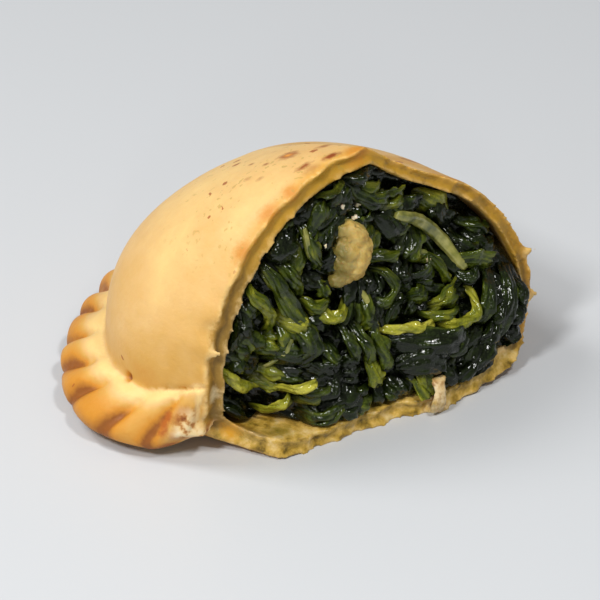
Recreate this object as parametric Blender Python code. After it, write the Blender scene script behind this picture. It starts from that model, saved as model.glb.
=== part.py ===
"""Half of a baked empanada, cut across, lying on its flat base.

A thin dough shell with a twisted, pleated seam holds a filling of cooked spinach
with a lump of white cheese in it. The cut face looks along +X, the folded edge is on
the +Y side, the pleated seam on the -Y side, and +Z is up.
"""
import math
import random

import bmesh
import bpy
from mathutils import Matrix, Vector, noise

MM = 0.001

# Driving sizes of the shell, in metres. "depth" is the distance behind the cut.
LENGTH = 53 * MM            # from the cut to the far end of the dome
FOLD_Y = 34 * MM            # outermost point of the folded side at the cut
SEAM_Y = -28 * MM           # where the dome meets the pleated seam, at its widest
WIDEST_DEPTH = 14 * MM      # depth at which the seam side stands out most
SEAM_FALL = (0.8, 0.6)      # powers by which it draws in behind there, and before it
TIP_Y = 23 * MM             # the end of the dome, where fold and seam meet
RIDGE_Z = 43 * MM           # height of the dome at the cut
RIDGE_FALL = (1.2, 0.6)     # powers of the curve by which the ridge falls to the tip
WALL_Z = 11 * MM            # height of the fullest point of the sides
MIDDLE = 0.48               # the ridge stands this share of the way from seam to fold

# The section's quarters are superellipses: 2 is round, 1 straight, 4 nearly square.
FOLD_ROUND = (2.0, 2.0)     # over the fold, deep in the dome: across, upwards
FOLD_AT_CUT = (1.15, 1.6)   # and at the cut, where the arch is pointed
SEAM_ROUND = 2.4            # over the seam, deep in the dome
SEAM_AT_CUT = 2.0
BASE_SEAM = 4.0             # the corners down to the flat base
BASE_FOLD = 2.8
BASE_PRESS = 0.4 * MM       # the dough is pressed flat by this much
SAG = 0.040                 # share of the height by which the slope over the fold dips
CUT_FORM = 45 * MM          # the form of the cut has rounded off this far behind it

CRUST_TOP = 2.9 * MM        # dough thickness over the filling
CRUST_FOLD = 2.1 * MM
CRUST_SEAM = 3.8 * MM
CRUST_BASE = 2.6 * MM
CRUST_END = 4 * MM          # at the tip
SWELL = 0.6 * MM            # soft unevenness of the baked surface
SWELL_SPAN = 17 * MM
GAP = 0.3 * MM              # clearance between pieces that touch

FRONT_RUN = 24 * MM         # the relief of the cut face has died out this far behind it
LIP_REACH = 5.8 * MM        # how far the base dough stands out in front of the cut
LIP_TONGUE = 2.0 * MM       # the longer tongue of the lip
NOTCH = 4.0 * MM            # torn notch between the lip and the seam
EDGE_RAGGED = 0.7 * MM      # unevenness of the cut edge

RIM_WIDTH = 6.9 * MM        # the pleated seam, from the dome outwards
RIM_ROOT = 4.0 * MM         # how deep it is rooted in the dome
RIM_CREASE_Z = 8.7 * MM     # height of its smooth ledge, where it meets the dome
RIM_CREASE_RISE = (4.0 * MM, 1.63)  # higher at the torn end, over so many pleats
RIM_EDGE_Z = 5.4 * MM       # height of its outer edge
RIM_FLOOR_Z = 1.0 * MM      # it is baked just clear of the surface,
RIM_TORN = (0.3, 2.45)      # width left at the torn end, and pleats to its full width
RIM_CURL = (3.4 * MM, 1.05) # the torn end has curled up this much, over so many pleats
RIM_SLANT = (2.4 * MM, 1.17)    # its outer edge is torn off this far behind the cut
GROOVE = 3.2 * MM           # depth of the grooves between pleats, at the outer edge
RIM_THIN = 0.8 * MM         # least thickness of the seam, in a groove
GROOVE_FROM = (0.12, 0.4)   # they begin past the dome, and reach their depth, at this share
SCALLOP = 1.0 * MM          # how far the outer edge draws in at a groove
PLEATS = 14
PLEAT_SHIFT = 0.15          # where along the seam the first groove falls
PLEAT_SLANT = 1.2           # share of a pleat by which its outer end trails behind
RIM_START = 0.3 * MM        # the torn seam begins this far behind the cut
RIM_PAST_TIP = 9 * MM       # and runs this far round the tip, onto the folded side,
RIM_TAIL_SUNK = 3 * MM      # where its thin tail sinks into the dome

FILL_SHORT = 0.8 * MM       # the filling ends this far behind the lip's edge, low down,
FILL_SEAM_SHORT = 9.0 * MM  # and this far behind it beside the seam,
FILL_SEAM_SUNK = 3.0 * MM   # at most this far behind the cut
FILL_SUNK = 3.0 * MM        # and is sunk below the top crust on the folded side
STRAND_SEED = 11
STRANDS = 30                # folds on the filling's face in all
STRAND_APART = 4.2 * MM     # least distance of a fold's middle from the others
STRAND_LIFT = 0.9 * MM      # a fold's middle stands this far out of the face
STRAND_HEIGHT = 2.6 * MM

CHEESE_Y = 0.0 * MM         # the lump of cheese on the filling's face
CHEESE_Z = 27.6 * MM
CHEESE_HEIGHT = 9.0 * MM
CHEESE_FORM = (0.7, 0.52)   # its depth and width, as shares of the height
CHEESE_LEAN = math.radians(-18)
CHEESE_OUT = 0.9 * MM       # its middle stands out of the face by this much

AROUND = 60                 # points round the dome's section
RINGS = 20                  # sections along the dome

bpy.context.scene.unit_settings.system = "METRIC"
for leftover in list(bpy.data.objects):
    bpy.data.objects.remove(leftover, do_unlink=True)


def new_collection(name):
    group = bpy.data.collections.new(name)
    bpy.context.scene.collection.children.link(group)
    return group


PARTS = new_collection("empanada_half")
CUTTERS = new_collection("cutters")


def material(name, colour, roughness):
    mat = bpy.data.materials.new(name)
    mat.use_nodes = True
    shader = mat.node_tree.nodes["Principled BSDF"]
    shader.inputs["Base Color"].default_value = (*colour, 1.0)
    shader.inputs["Roughness"].default_value = roughness
    shader.inputs["Metallic"].default_value = 0.0
    return mat


BAKED_DOUGH = material("baked_dough", (0.78, 0.47, 0.18), 0.45)
SPINACH = material("cooked_spinach", (0.035, 0.07, 0.02), 0.25)
CHEESE = material("white_cheese", (0.74, 0.63, 0.40), 0.6)


def smooth(t):
    """Smooth step from 0 to 1."""
    t = min(max(t, 0.0), 1.0)
    return t * t * (3 - 2 * t)


def mix(a, b, share):
    return a + (b - a) * share


# --- the form of the dome --------------------------------------------------------

class Shell:
    """One skin of the shell: the outside of the dough, or a surface inside it."""

    def __init__(self, end=0.0, top=0.0, fold=0.0, seam=0.0, base=0.0):
        self.length = LENGTH - end
        self.top, self.fold, self.seam, self.base = top, fold, seam, base

    def share(self, depth):
        return min(max(depth, 0.0) / self.length, 1.0)

    def seam_y(self, depth):
        """Seam side: bulges to its widest point, then rounds off to the tip."""
        past = max(depth, 0.0) - WIDEST_DEPTH
        if past > 0:
            width = max(1 - (past / (self.length - WIDEST_DEPTH)) ** 2, 0.0) ** SEAM_FALL[0]
        else:
            width = (1 - (past / (40 * MM)) ** 2) ** SEAM_FALL[1]
        return TIP_Y - (TIP_Y - SEAM_Y - self.seam) * width

    def fold_y(self, depth):
        """Folded side: nearly straight, rounding off to the tip."""
        return TIP_Y + (FOLD_Y - self.fold - TIP_Y) * (1 - self.share(depth) ** 3) ** 0.6

    def ridge_z(self, depth):
        """Height of the dome: it falls ever faster towards the tip."""
        fall = (1 - self.share(depth) ** RIDGE_FALL[0]) ** RIDGE_FALL[1]
        return self.base + (RIDGE_Z - self.top - self.base) * fall

    def section(self, depth, count):
        """Outline of the section at a depth, as (y, z), from the fold over the top."""
        fold, seam = self.fold_y(depth), self.seam_y(depth)
        middle = seam + MIDDLE * (fold - seam)
        top = max(self.ridge_z(depth), self.base + GAP)
        wall = self.base + (WALL_Z - self.base) * (1 - self.share(depth) ** 2) ** 0.5
        wall = min(wall, self.base + 0.45 * (top - self.base))
        deep = smooth(depth / CUT_FORM)
        over_fold = [mix(cut, inner, deep) for cut, inner in zip(FOLD_AT_CUT, FOLD_ROUND)]
        over_seam = mix(SEAM_AT_CUT, SEAM_ROUND, deep)
        quarters = [
            # side, form across, form upwards, rise from the side's fullest point
            (fold, over_fold[0], over_fold[1], top - wall),
            (seam, over_seam, over_seam, top - wall),
            (seam, BASE_SEAM, BASE_SEAM, self.base - wall - BASE_PRESS),
            (fold, BASE_FOLD, BASE_FOLD, self.base - wall - BASE_PRESS),
        ]
        steps = 24
        outline = []
        for index, (side, across, height, rise) in enumerate(quarters):
            for step in range(steps):
                turn = step / steps if index % 2 == 0 else 1 - step / steps
                out = max(math.cos(turn * math.pi / 2), 0.0) ** (2 / across)
                up = max(math.sin(turn * math.pi / 2), 0.0) ** (2 / height)
                if index == 0:
                    up -= SAG * (1 - deep) * math.sin(2 * math.pi * out)
                outline.append((middle + (side - middle) * out, max(wall + rise * up, self.base)))
        return resample(outline, count)


def resample(outline, count):
    """The same closed outline with evenly spaced points."""
    closed = outline + outline[:1]
    lengths = [math.dist(a, b) for a, b in zip(closed, closed[1:])]
    total, points, start, piece = sum(lengths), [], 0.0, 0
    for index in range(count):
        goal = total * index / count
        while start + lengths[piece] < goal:
            start += lengths[piece]
            piece += 1
        share = (goal - start) / lengths[piece] if lengths[piece] else 0.0
        a, b = closed[piece], closed[piece + 1]
        points.append((a[0] + (b[0] - a[0]) * share, a[1] + (b[1] - a[1]) * share))
    return points


def lip_reach(y):
    """How far the base dough stands out in front of the cut, across the opening."""
    lip = LIP_REACH * smooth((y + 20 * MM) / (6 * MM)) * smooth((36.5 * MM - y) / (10 * MM))
    return lip + LIP_TONGUE * math.exp(-((y - 13 * MM) / (6 * MM)) ** 2)


def cut_edge_x(y, z):
    """How far the torn dough stands out of the cut plane: lip, notch and ragged edge."""
    low = 1 - smooth((z - 1.5 * MM) / (8 * MM))
    notch = NOTCH * math.exp(-((y + 24 * MM) / (4 * MM)) ** 2)
    ragged = EDGE_RAGGED * noise.noise(Vector((y, z, 0)) / (3.5 * MM))
    return (lip_reach(y) - notch) * low + ragged


def dough_swell(point):
    """Soft unevenness of the baked surface, dying out towards the flat base."""
    high = smooth((point.z - 6 * MM) / (10 * MM))
    return SWELL * high * noise.noise(point / SWELL_SPAN)


def add_body(name, bm, mat, group):
    """An object of a finished bmesh, in the parts or, unseen, among the cutters."""
    mesh = bpy.data.meshes.new(name)
    bm.to_mesh(mesh)
    bm.free()
    mesh.materials.append(mat)
    body = bpy.data.objects.new(name, mesh)
    group.objects.link(body)
    if group is CUTTERS:
        body.hide_render = True
        body.display_type = "WIRE"
    return body


def loft(name, rings, mat, group):
    """A closed body through rings of equal point counts, its two ends capped."""
    bm = bmesh.new()
    rows = [[bm.verts.new(p) for p in ring] for ring in rings]
    for row, after in zip(rows, rows[1:]):
        for i in range(len(row)):
            j = (i + 1) % len(row)
            bm.faces.new((row[i], row[j], after[j], after[i]))
    for row in (rows[0], rows[-1]):
        centre = bm.verts.new(sum((v.co for v in row), Vector()) / len(row))
        for i in range(len(row)):
            bm.faces.new((row[i], row[(i + 1) % len(row)], centre))
    bmesh.ops.recalc_face_normals(bm, faces=bm.faces)
    bmesh.ops.triangulate(bm, faces=bm.faces)
    return add_body(name, bm, mat, group)


def dome_rings(shell, around, rings, front):
    """Sections of one skin from the cut back to the tip, the first ones spread over the cut.

    front(y, z) gives the x of the front face, whose relief dies out behind it.
    """
    depths = [shell.length * math.sin(math.pi / 2 * i / rings) for i in range(rings)]
    first = [Vector((0, y, z)) for y, z in shell.section(0.0, around)]
    heart = sum(first, Vector()) / around
    loops = []
    for share in (0.25, 0.5, 0.72, 0.88):
        loop = [heart + (p - heart) * share for p in first]
        loops.append([Vector((front(p.y, p.z), p.y, p.z)) for p in loop])
    for depth in depths:
        fade = max(0.0, 1 - depth / FRONT_RUN) ** 2
        loop = []
        for y, z in shell.section(depth, around):
            loop.append(Vector((front(y, z) * fade - depth, y, z)))
        loops.append(loop)
    return loops


def apply_boolean(body, operation, cutter=None, group=None):
    """Cut, keep or join another closed body, or all bodies of a collection."""
    step = body.modifiers.new("boolean", "BOOLEAN")
    step.operation = operation
    step.solver = "EXACT"
    if group:
        step.operand_type = "COLLECTION"
        step.collection = group
    else:
        step.object = cutter
    bpy.context.view_layer.update()
    depsgraph = bpy.context.evaluated_depsgraph_get()
    result = bpy.data.meshes.new_from_object(body.evaluated_get(depsgraph))
    body.modifiers.remove(step)
    body.data = result
    for used in (list(group.objects) if group else [cutter]):
        bpy.data.objects.remove(used, do_unlink=True)


def move(body, group):
    CUTTERS.objects.unlink(body)
    group.objects.link(body)


def keep_largest(body):
    """Drop loose scraps that a cut leaves behind."""
    bm = bmesh.new()
    bm.from_mesh(body.data)
    left, islands = set(bm.verts), []
    while left:
        seed = left.pop()
        island, queue = {seed}, [seed]
        while queue:
            for edge in queue.pop().link_edges:
                for vert in edge.verts:
                    if vert in left:
                        left.discard(vert)
                        island.add(vert)
                        queue.append(vert)
        islands.append(island)
    islands.sort(key=len)
    scraps = [vert for island in islands[:-1] for vert in island]
    bmesh.ops.delete(bm, geom=scraps, context="VERTS")
    bmesh.ops.triangulate(bm, faces=bm.faces)
    bm.to_mesh(body.data)
    bm.free()


def inside_shell(gap=0.0):
    """The inner skin of the dough, or the filling's own skin with a gap to it."""
    walls = dict(top=CRUST_TOP, fold=CRUST_FOLD, seam=CRUST_SEAM, base=CRUST_BASE, end=CRUST_END)
    return Shell(**{side: wall + gap for side, wall in walls.items()})


def cavity(shell, name, around=40, rings=12):
    """A skin's inside as a body that also runs well out of the cut."""
    depths = [-FRONT_RUN] + [shell.length * math.sin(math.pi / 2 * i / rings) for i in range(rings)]
    loops = [[Vector((-d, y, z)) for y, z in shell.section(d, around)] for d in depths]
    return loft(name, loops, SPINACH, CUTTERS)


def spindle(share):
    """Thickness along a strand: full in the middle, thin at both ends."""
    return 0.35 + 0.65 * math.sin(math.pi * share) ** 0.6


def pointed(share):
    return 1.15 - share


def even(share):
    return 1.0


def strand(name, path, width, height, mat, across=None, form=spindle, sides=6):
    """A tapered tube along a path, flat on a face that looks along X or broad one way."""
    rings = []
    for index, point in enumerate(path):
        before, after = path[max(index - 1, 0)], path[min(index + 1, len(path) - 1)]
        along = (after - before).normalized()
        wide = across or along.cross(Vector((1, 0, 0))).normalized()
        thick = along.cross(across) if across else Vector((1, 0, 0))
        taper = form((index + 0.5) / len(path))
        ring = []
        for side in range(sides):
            turn = 2 * math.pi * (side + 0.25) / sides
            offset = wide * (math.cos(turn) * width / 2) + thick * (math.sin(turn) * height / 2)
            ring.append(point + offset * taper)
        rings.append(ring)
    return loft(name, rings, mat, CUTTERS)


# --- the dough shell with its pleated seam ----------------------------------------

def seam_path(outside, count):
    """Evenly spaced points of the line where the dome meets the seam, round the tip."""
    turns = [math.pi / 2 * i / 200 for i in range(201)]
    line = [Vector((-LENGTH * math.sin(t), outside.seam_y(LENGTH * math.sin(t)), 0)) for t in turns]
    for t in reversed(turns[:-1]):
        point = Vector((-LENGTH * math.sin(t), outside.fold_y(LENGTH * math.sin(t)), 0))
        if (point - Vector((-LENGTH, TIP_Y, 0))).length > RIM_PAST_TIP:
            break
        line.append(point)
    lengths = [(b - a).length for a, b in zip(line, line[1:])]
    total, start, piece, path = sum(lengths), 0.0, 0, []
    for index in range(count):
        goal = RIM_START + (total - RIM_START) * index / (count - 1)
        while piece < len(lengths) - 1 and start + lengths[piece] < goal:
            start += lengths[piece]
            piece += 1
        path.append(line[piece].lerp(line[piece + 1], (goal - start) / lengths[piece]))
    return path


def seam_rim(outside):
    """The folded seam: a ledge that slopes outwards into pleats with slanting grooves."""
    per_pleat, sides = 7, 14
    path = seam_path(outside, PLEATS * per_pleat + 1)
    rings = []
    for index, point in enumerate(path):
        before, after = path[max(index - 1, 0)], path[min(index + 1, len(path) - 1)]
        along = (after - before).normalized()
        out = Vector((-along.y, along.x, 0))
        torn = mix(RIM_TORN[0], 1.0, smooth(index / (RIM_TORN[1] * per_pleat)))
        floor = RIM_FLOOR_Z + RIM_CURL[0] * (1 - smooth(index / (RIM_CURL[1] * per_pleat)))
        rise = 1 - smooth(index / (RIM_CREASE_RISE[1] * per_pleat))
        crease = RIM_CREASE_Z + RIM_CREASE_RISE[0] * rise
        tail = 1 - 0.9 * smooth((index / (len(path) - 1) - 0.72) / 0.28)
        sunk = RIM_TAIL_SUNK * smooth((index / (len(path) - 1) - 0.9) / 0.1)
        ring = []
        for side in range(sides):
            turn = 2 * math.pi * side / sides
            round_off = math.copysign(abs(math.cos(turn)) ** 0.8, -math.cos(turn))
            reach = 0.5 + 0.5 * round_off
            past_dome = max(0.0, (reach * (RIM_ROOT + RIM_WIDTH) - RIM_ROOT) / RIM_WIDTH)
            pleat = index / per_pleat + PLEAT_SHIFT - PLEAT_SLANT * reach
            crest = abs(math.sin(math.pi * (pleat % 1) ** 0.8)) ** 0.4
            width = (RIM_WIDTH - SCALLOP * (1 - crest)) * torn * tail
            radial = -RIM_ROOT - sunk + (RIM_ROOT + width) * reach
            top = mix(crease, RIM_EDGE_Z, max(0.0, radial / width) ** 1.5)
            top -= GROOVE * (1 - crest) * smooth((past_dome - GROOVE_FROM[0]) / GROOVE_FROM[1])
            top = max(top, floor + RIM_THIN)
            middle = (top + floor) / 2
            half = (top - floor) / 2
            z = middle + half * math.copysign(abs(math.sin(turn)) ** 0.7, math.sin(turn))
            z = floor + (z - floor) * (0.3 + 0.7 * tail)
            slant = RIM_SLANT[0] * (1 - smooth(index / (RIM_SLANT[1] * per_pleat)))
            slant *= min(max(0.0, radial / width), 1.0)
            ring.append(point + out * radial + along * slant + Vector((0, 0, z)))
        rings.append(ring)
    return loft("seam_rim", rings, BAKED_DOUGH, CUTTERS)


# Flakes of torn dough at the cut: width and thickness, the way across, the taper,
# then the points along it, in mm. The last is a pale strip that stands on the lip.
FLAKES = [
    (2.8, 1.1, (0, 0, 1), pointed, [(-1.8, 31.4, 15.7), (-0.2, 33.2, 16.0), (0.6, 34.3, 16.4)]),
    (3.0, 1.3, (0, 0, 1), pointed, [(-1.6, 32.4, 8.0), (0.0, 34.0, 8.4), (0.8, 34.8, 8.8)]),
    (2.4, 0.9, (0, 0, 1), pointed, [(-1.6, -22.9, 18.0), (0.2, -22.7, 18.1), (1.6, -21.8, 18.4)]),
    (3.2, 1.0, (0, 1, 0), even,
     [(6.4, 12.0, 5.2), (7.6, 11.5, 4.9), (8.5, 11.1, 3.6), (8.6, 10.8, 2.0), (8.1, 10.6, 0.5)]),
]


def flake(number, group, grow=0.0):
    width, thick, across, form, points = FLAKES[number]
    path, sizes = [Vector(point) * MM for point in points], [width * MM + grow, thick * MM + grow]
    body = strand(f"flake_{number}", path, *sizes, BAKED_DOUGH, Vector(across), form)
    if group is not CUTTERS:
        move(body, group)
    return body


def build_crust():
    outside = Shell()
    rings = dome_rings(outside, AROUND, RINGS, cut_edge_x)
    for ring in rings:
        heart = sum(ring, Vector()) / len(ring)
        for p in ring:
            away = (p - heart) * Vector((0, 1, 1))
            if p.x < -1 * MM and away.length > 1 * MM:
                p += away.normalized() * dough_swell(p)
    crust = loft("crust", rings, BAKED_DOUGH, PARTS)
    apply_boolean(crust, "UNION", cutter=seam_rim(outside))
    apply_boolean(crust, "DIFFERENCE", cutter=cavity(inside_shell(), "hollow"))
    flakes = new_collection("flakes")
    for number in range(len(FLAKES)):
        flake(number, flakes)
    apply_boolean(crust, "UNION", group=flakes)
    bpy.data.collections.remove(flakes)
    keep_largest(crust)
    return crust


# --- the spinach filling ----------------------------------------------------------

def filling_front_x(y, z):
    """Front face of the filling: it leans out over the lip, and is sunk under the crust."""
    low = smooth((26 * MM - z) / (20 * MM))
    short = mix(FILL_SEAM_SHORT, FILL_SHORT, smooth((y + 15 * MM) / (8 * MM)))
    out = max(lip_reach(y) - short, -FILL_SEAM_SUNK) * low
    sunk = smooth((y - 4 * MM) / (16 * MM)) * smooth((z - 12 * MM) / (12 * MM))
    lumps = 1.2 * MM * noise.noise(Vector((y, z, 5 * MM)) / (6 * MM))
    return out - FILL_SUNK * sunk + lumps


def bent_line(y, z, heading, length, bend):
    """Corner points (y, z) of a strand that turns evenly along its length."""
    steps = 4
    y -= math.cos(heading) * length / 2
    z -= math.sin(heading) * length / 2
    points, angle = [(y, z)], heading - bend / 2
    for step in range(steps):
        y += math.cos(angle) * length / steps
        z += math.sin(angle) * length / steps
        angle += bend / (steps - 1)
        points.append((y, z))
    return points


def on_face(points, lift):
    """A path that rises from the filling's face in its middle and dips in at its ends."""
    last = len(points) - 1
    return [
        Vector((filling_front_x(y, z) + lift * math.sin(math.pi * i / last), y, z))
        for i, (y, z) in enumerate(points)
    ]


# The folds that show most in the cut: width, height, then corner points (y, z) in mm,
# where they are seen against the plane of the cut.
MAIN_FOLDS = [
    (2.0, 2.0, [(9.8, 29.6), (12.7, 28.4), (16.0, 25.0), (19.3, 20.7), (22.3, 16.5)]),
    (2.6, 2.6, [(-21.1, 15.1), (-20.0, 12.3), (-17.0, 9.6), (-13.8, 8.2), (-11.4, 7.4)]),
    (2.4, 2.6, [(-12.0, 7.3), (-7.7, 6.4), (-4.4, 6.2), (-2.1, 5.1)]),
    (2.2, 2.4, [(-12.6, 5.0), (-10.8, 4.6), (-8.8, 4.6), (-6.9, 4.4)]),
    (2.2, 2.6, [(7.8, 10.4), (10.3, 9.9), (12.8, 9.9), (15.8, 9.0), (18.8, 8.1)]),
    (2.4, 2.6, [(18.0, 8.4), (21.3, 7.5), (23.9, 7.2), (25.6, 8.8), (25.2, 11.1), (23.7, 13.0)]),
    (2.6, 2.4, [(-16.3, 27.1), (-14.1, 24.4), (-12.2, 21.4), (-11.1, 18.3), (-12.3, 16.4)]),
    (3.4, 2.6, [(-12.0, 28.2), (-10.1, 24.8), (-8.1, 21.0), (-5.8, 17.1), (-2.5, 15.1)]),
    (2.4, 2.4, [(-6.0, 32.9), (-5.7, 29.7), (-4.3, 26.2), (-2.3, 23.3)]),
    (2.2, 2.4, [(1.0, 14.6), (1.7, 11.8), (2.6, 9.2), (3.9, 6.3)]),
    (2.2, 2.4, [(5.6, 12.6), (6.9, 9.8), (8.2, 7.0), (8.9, 3.2)]),
    (4.0, 2.2, [(31.3, 13.4), (31.2, 8.4), (30.2, 4.4), (28.2, 1.4)]),
]
VIEW_SLOPE = (-0.78, 0.675)     # y and z by which a place slides along the view for each x


def slid(line, lift):
    """Places seen against the plane of the cut, moved along the view onto the face."""
    moved = []
    for seen_y, seen_z in line:
        y, z = seen_y, seen_z
        for _ in range(12):
            x = filling_front_x(y, z) + lift
            y, z = seen_y + VIEW_SLOPE[0] * x, seen_z + VIEW_SLOPE[1] * x
        moved.append((y, z))
    return moved


def within_face(y, z):
    """Whether a strand's middle keeps clear of the dough round the filling."""
    side = FOLD_Y - 5 * MM if y > 0 else 7 * MM + SEAM_Y
    return abs(y / side) ** 1.5 + max((z - 8 * MM) / (32 * MM), 0) ** 1.5 < 0.92


def build_filling():
    room = inside_shell(gap=GAP)
    core = loft("spinach_filling", dome_rings(room, 40, 12, filling_front_x), SPINACH, PARTS)

    lines = []
    for width, height, line in MAIN_FOLDS:
        seen = [(y * MM, z * MM) for y, z in line]
        lines.append((width * MM, height * MM, slid(seen, STRAND_LIFT)))
    taken = [point for _, _, line in lines for point in line]
    taken.append((CHEESE_Y, CHEESE_Z))
    rng = random.Random(STRAND_SEED)
    while len(lines) < STRANDS:
        y, z = rng.uniform(-21, 31) * MM, rng.uniform(5, 38) * MM
        nearest = min(math.dist((y, z), other) for other in taken)
        if nearest < STRAND_APART or not within_face(y, z):
            continue
        taken.append((y, z))
        heading = rng.uniform(-1.2, 1.2)
        length, width = rng.uniform(7, 12) * MM, rng.uniform(2.4, 4.4) * MM
        bend = rng.uniform(-1.6, 1.6)
        lines.append((width, STRAND_HEIGHT, bent_line(y, z, heading, length, bend)))

    strands = new_collection("strands")
    for number, (width, height, line) in enumerate(lines):
        path = on_face(line, STRAND_LIFT)
        move(strand(f"strand_{number:02d}", path, width, height, SPINACH), strands)
    apply_boolean(core, "UNION", group=strands)
    bpy.data.collections.remove(strands)
    apply_boolean(core, "INTERSECT", cutter=cavity(room, "filling_room"))
    apply_boolean(core, "DIFFERENCE", cutter=cheese_lump("cheese_pocket", CUTTERS, 1.5 * GAP))
    apply_boolean(core, "DIFFERENCE", cutter=flake(len(FLAKES) - 1, CUTTERS, 3 * GAP))
    keep_largest(core)
    return core


# --- the lump of cheese -------------------------------------------------------------

def cheese_lump(name, group, grow=0.0):
    """An angular crumb of cheese, half sunk in the filling's face and leaning outwards."""
    bm = bmesh.new()
    bmesh.ops.create_cube(bm, size=1.6)
    bmesh.ops.subdivide_edges(bm, edges=bm.edges, cuts=3, use_grid_fill=True)
    for vert in bm.verts:
        ball = vert.co.normalized()
        vert.co = vert.co.lerp(ball, 0.6) * (1 + 0.2 * noise.noise(ball * 1.4 + Vector((0, 0, 3))))
    half = CHEESE_HEIGHT / 2
    depth, width = CHEESE_FORM
    bm.transform(Matrix.Diagonal((depth * half + grow, width * half + grow, half + grow)).to_4x4())
    bm.transform(Matrix.Rotation(CHEESE_LEAN, 4, "X"))
    face = filling_front_x(CHEESE_Y, CHEESE_Z)
    bm.transform(Matrix.Translation((face + CHEESE_OUT, CHEESE_Y, CHEESE_Z)))
    bmesh.ops.triangulate(bm, faces=bm.faces)
    return add_body(name, bm, CHEESE, group)


build_crust()
build_filling()
cheese_lump("cheese_lump", PARTS)

# The origin is the middle of the base: every piece hangs on one empty placed for it.
bpy.context.view_layer.update()
corners = [body.matrix_world @ v.co for body in PARTS.objects for v in body.data.vertices]
low = [min(p[axis] for p in corners) for axis in range(3)]
high = [max(p[axis] for p in corners) for axis in range(3)]
root = bpy.data.objects.new("half_origin", None)
root.location = (-(low[0] + high[0]) / 2, -(low[1] + high[1]) / 2, -low[2])
PARTS.objects.link(root)
for body in list(PARTS.objects):
    if body is not root:
        body.parent = root
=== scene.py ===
import math
import random

import bmesh
import bpy
import numpy as np
from mathutils import Matrix, Vector, kdtree, noise


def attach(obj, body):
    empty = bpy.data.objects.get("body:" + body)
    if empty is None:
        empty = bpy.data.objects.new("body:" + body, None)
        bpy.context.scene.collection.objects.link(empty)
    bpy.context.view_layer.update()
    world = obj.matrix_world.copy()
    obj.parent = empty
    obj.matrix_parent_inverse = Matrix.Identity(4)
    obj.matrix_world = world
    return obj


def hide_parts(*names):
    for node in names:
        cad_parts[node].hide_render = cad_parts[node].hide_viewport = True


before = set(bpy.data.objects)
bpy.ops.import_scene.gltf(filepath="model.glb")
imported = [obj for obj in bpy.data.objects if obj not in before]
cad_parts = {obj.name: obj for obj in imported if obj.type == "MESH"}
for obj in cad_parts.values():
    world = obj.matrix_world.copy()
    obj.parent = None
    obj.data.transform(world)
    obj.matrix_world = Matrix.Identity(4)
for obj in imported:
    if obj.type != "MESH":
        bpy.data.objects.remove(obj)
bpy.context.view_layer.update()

# --- The baked dough: shell, pleated seam and torn cut ---------------------------------
# One round of wheat dough folded over the filling, its open side twisted into slanting
# pleats, brushed with egg, baked, and cut across with a knife. The cut leaves a crumbly
# edge, and a lip where the base tore further out.

# All of it is worked out in millimetres, x = 0 at the cut, and moved to CUT_AT last.
CUT_AT = Vector((23.377, -0.062, 0.0))

# How deep the dome is behind the cut, how deep it is widest, and y of its tip; then y of
# the folded side and of the seam, and z of the ridge and of the top of the side wall.
LENGTH, WIDEST, TIP_Y = 53.0, 14.0, 23.0
FOLD_Y, SEAM_Y, RIDGE_Z, WALL_Z = 34.0, -28.0, 43.0, 11.0
# How its outline in plan draws in towards the tip and towards the cut, and its ridge falls.
TIP_POWER, FOLD_POWER, CUT_POWER, CUT_TAPER = 0.8, 0.6, 0.6, 40.0
RIDGE_FALL = (1.2, 0.6)
# The ridge stands this share of the way from the seam to the folded side. Towards the tip
# the room keeps a least height, and the side walls end at a share of it.
MIDDLE, LEAST_HEIGHT, WALL_SHARE = 0.48, 0.3, 0.45
# Across, it is four quarters of superellipses, where 2 is round and 1 straight. Over the
# fold it is pointed and sags at the cut, a form that has rounded off at CUT_FORM behind it.
FOLD_AT_CUT, FOLD_ROUND, SEAM_AT_CUT, SEAM_ROUND = (1.15, 1.6), (2.0, 2.0), 2.0, 2.4
BASE_SEAM, BASE_FOLD, BASE_PRESS, SAG, CUT_FORM = 4.0, 2.8, 0.4, 0.04, 45.0
# Thickness of the dough at each place, which is none for its outside.
OUTSIDE = dict(top=0.0, fold=0.0, seam=0.0, base=0.0, end=0.0)
INSIDE = dict(top=2.9, fold=2.1, seam=3.8, base=2.6, end=4.0)
QUARTER_POINTS = 24


def soft(t):
    """Smooth step from 0 to 1."""
    t = np.clip(t, 0.0, 1.0)
    return t * t * (3 - 2 * t)


def mix(a, b, t):
    return a + (b - a) * t


def grain(points, span, seed=0.0):
    """Soft noise, about -1 to 1, with bumps as wide as span, at each point."""
    shift = Vector((seed, seed * 1.7, seed * 0.6))
    return np.array([noise.noise(Vector(p) / span + shift) for p in points])


def evenly(line, count, start=0.0, closed=False):
    """The line as count points, evenly spaced; a closed one stops short of its start."""
    run = np.concatenate([[0], np.cumsum(np.linalg.norm(np.diff(line, axis=0), axis=1))])
    goal = np.linspace(start, run[-1], count, endpoint=not closed)
    return np.stack([np.interp(goal, run, column) for column in line.T], 1)


def headings(line):
    """The direction of a line at each of its points."""
    ahead = np.gradient(line, axis=0)
    return ahead / np.linalg.norm(ahead, axis=1)[:, None]


def ring(sides):
    """Angles of evenly spaced points round a circle."""
    return 2 * math.pi * np.arange(sides) / sides


def seam_reach(depth, length):
    """Share of the way from the tip's line out to the seam, at a depth behind the cut."""
    past = depth - WIDEST
    if past > 0:
        return max(1 - (past / (length - WIDEST)) ** 2, 0.0) ** TIP_POWER
    return (1 - (past / CUT_TAPER) ** 2) ** CUT_POWER


def fold_reach(share):
    """Share of the way from the tip's line to the folded side, at a share of the length."""
    return (1 - share ** 3) ** FOLD_POWER


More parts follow.
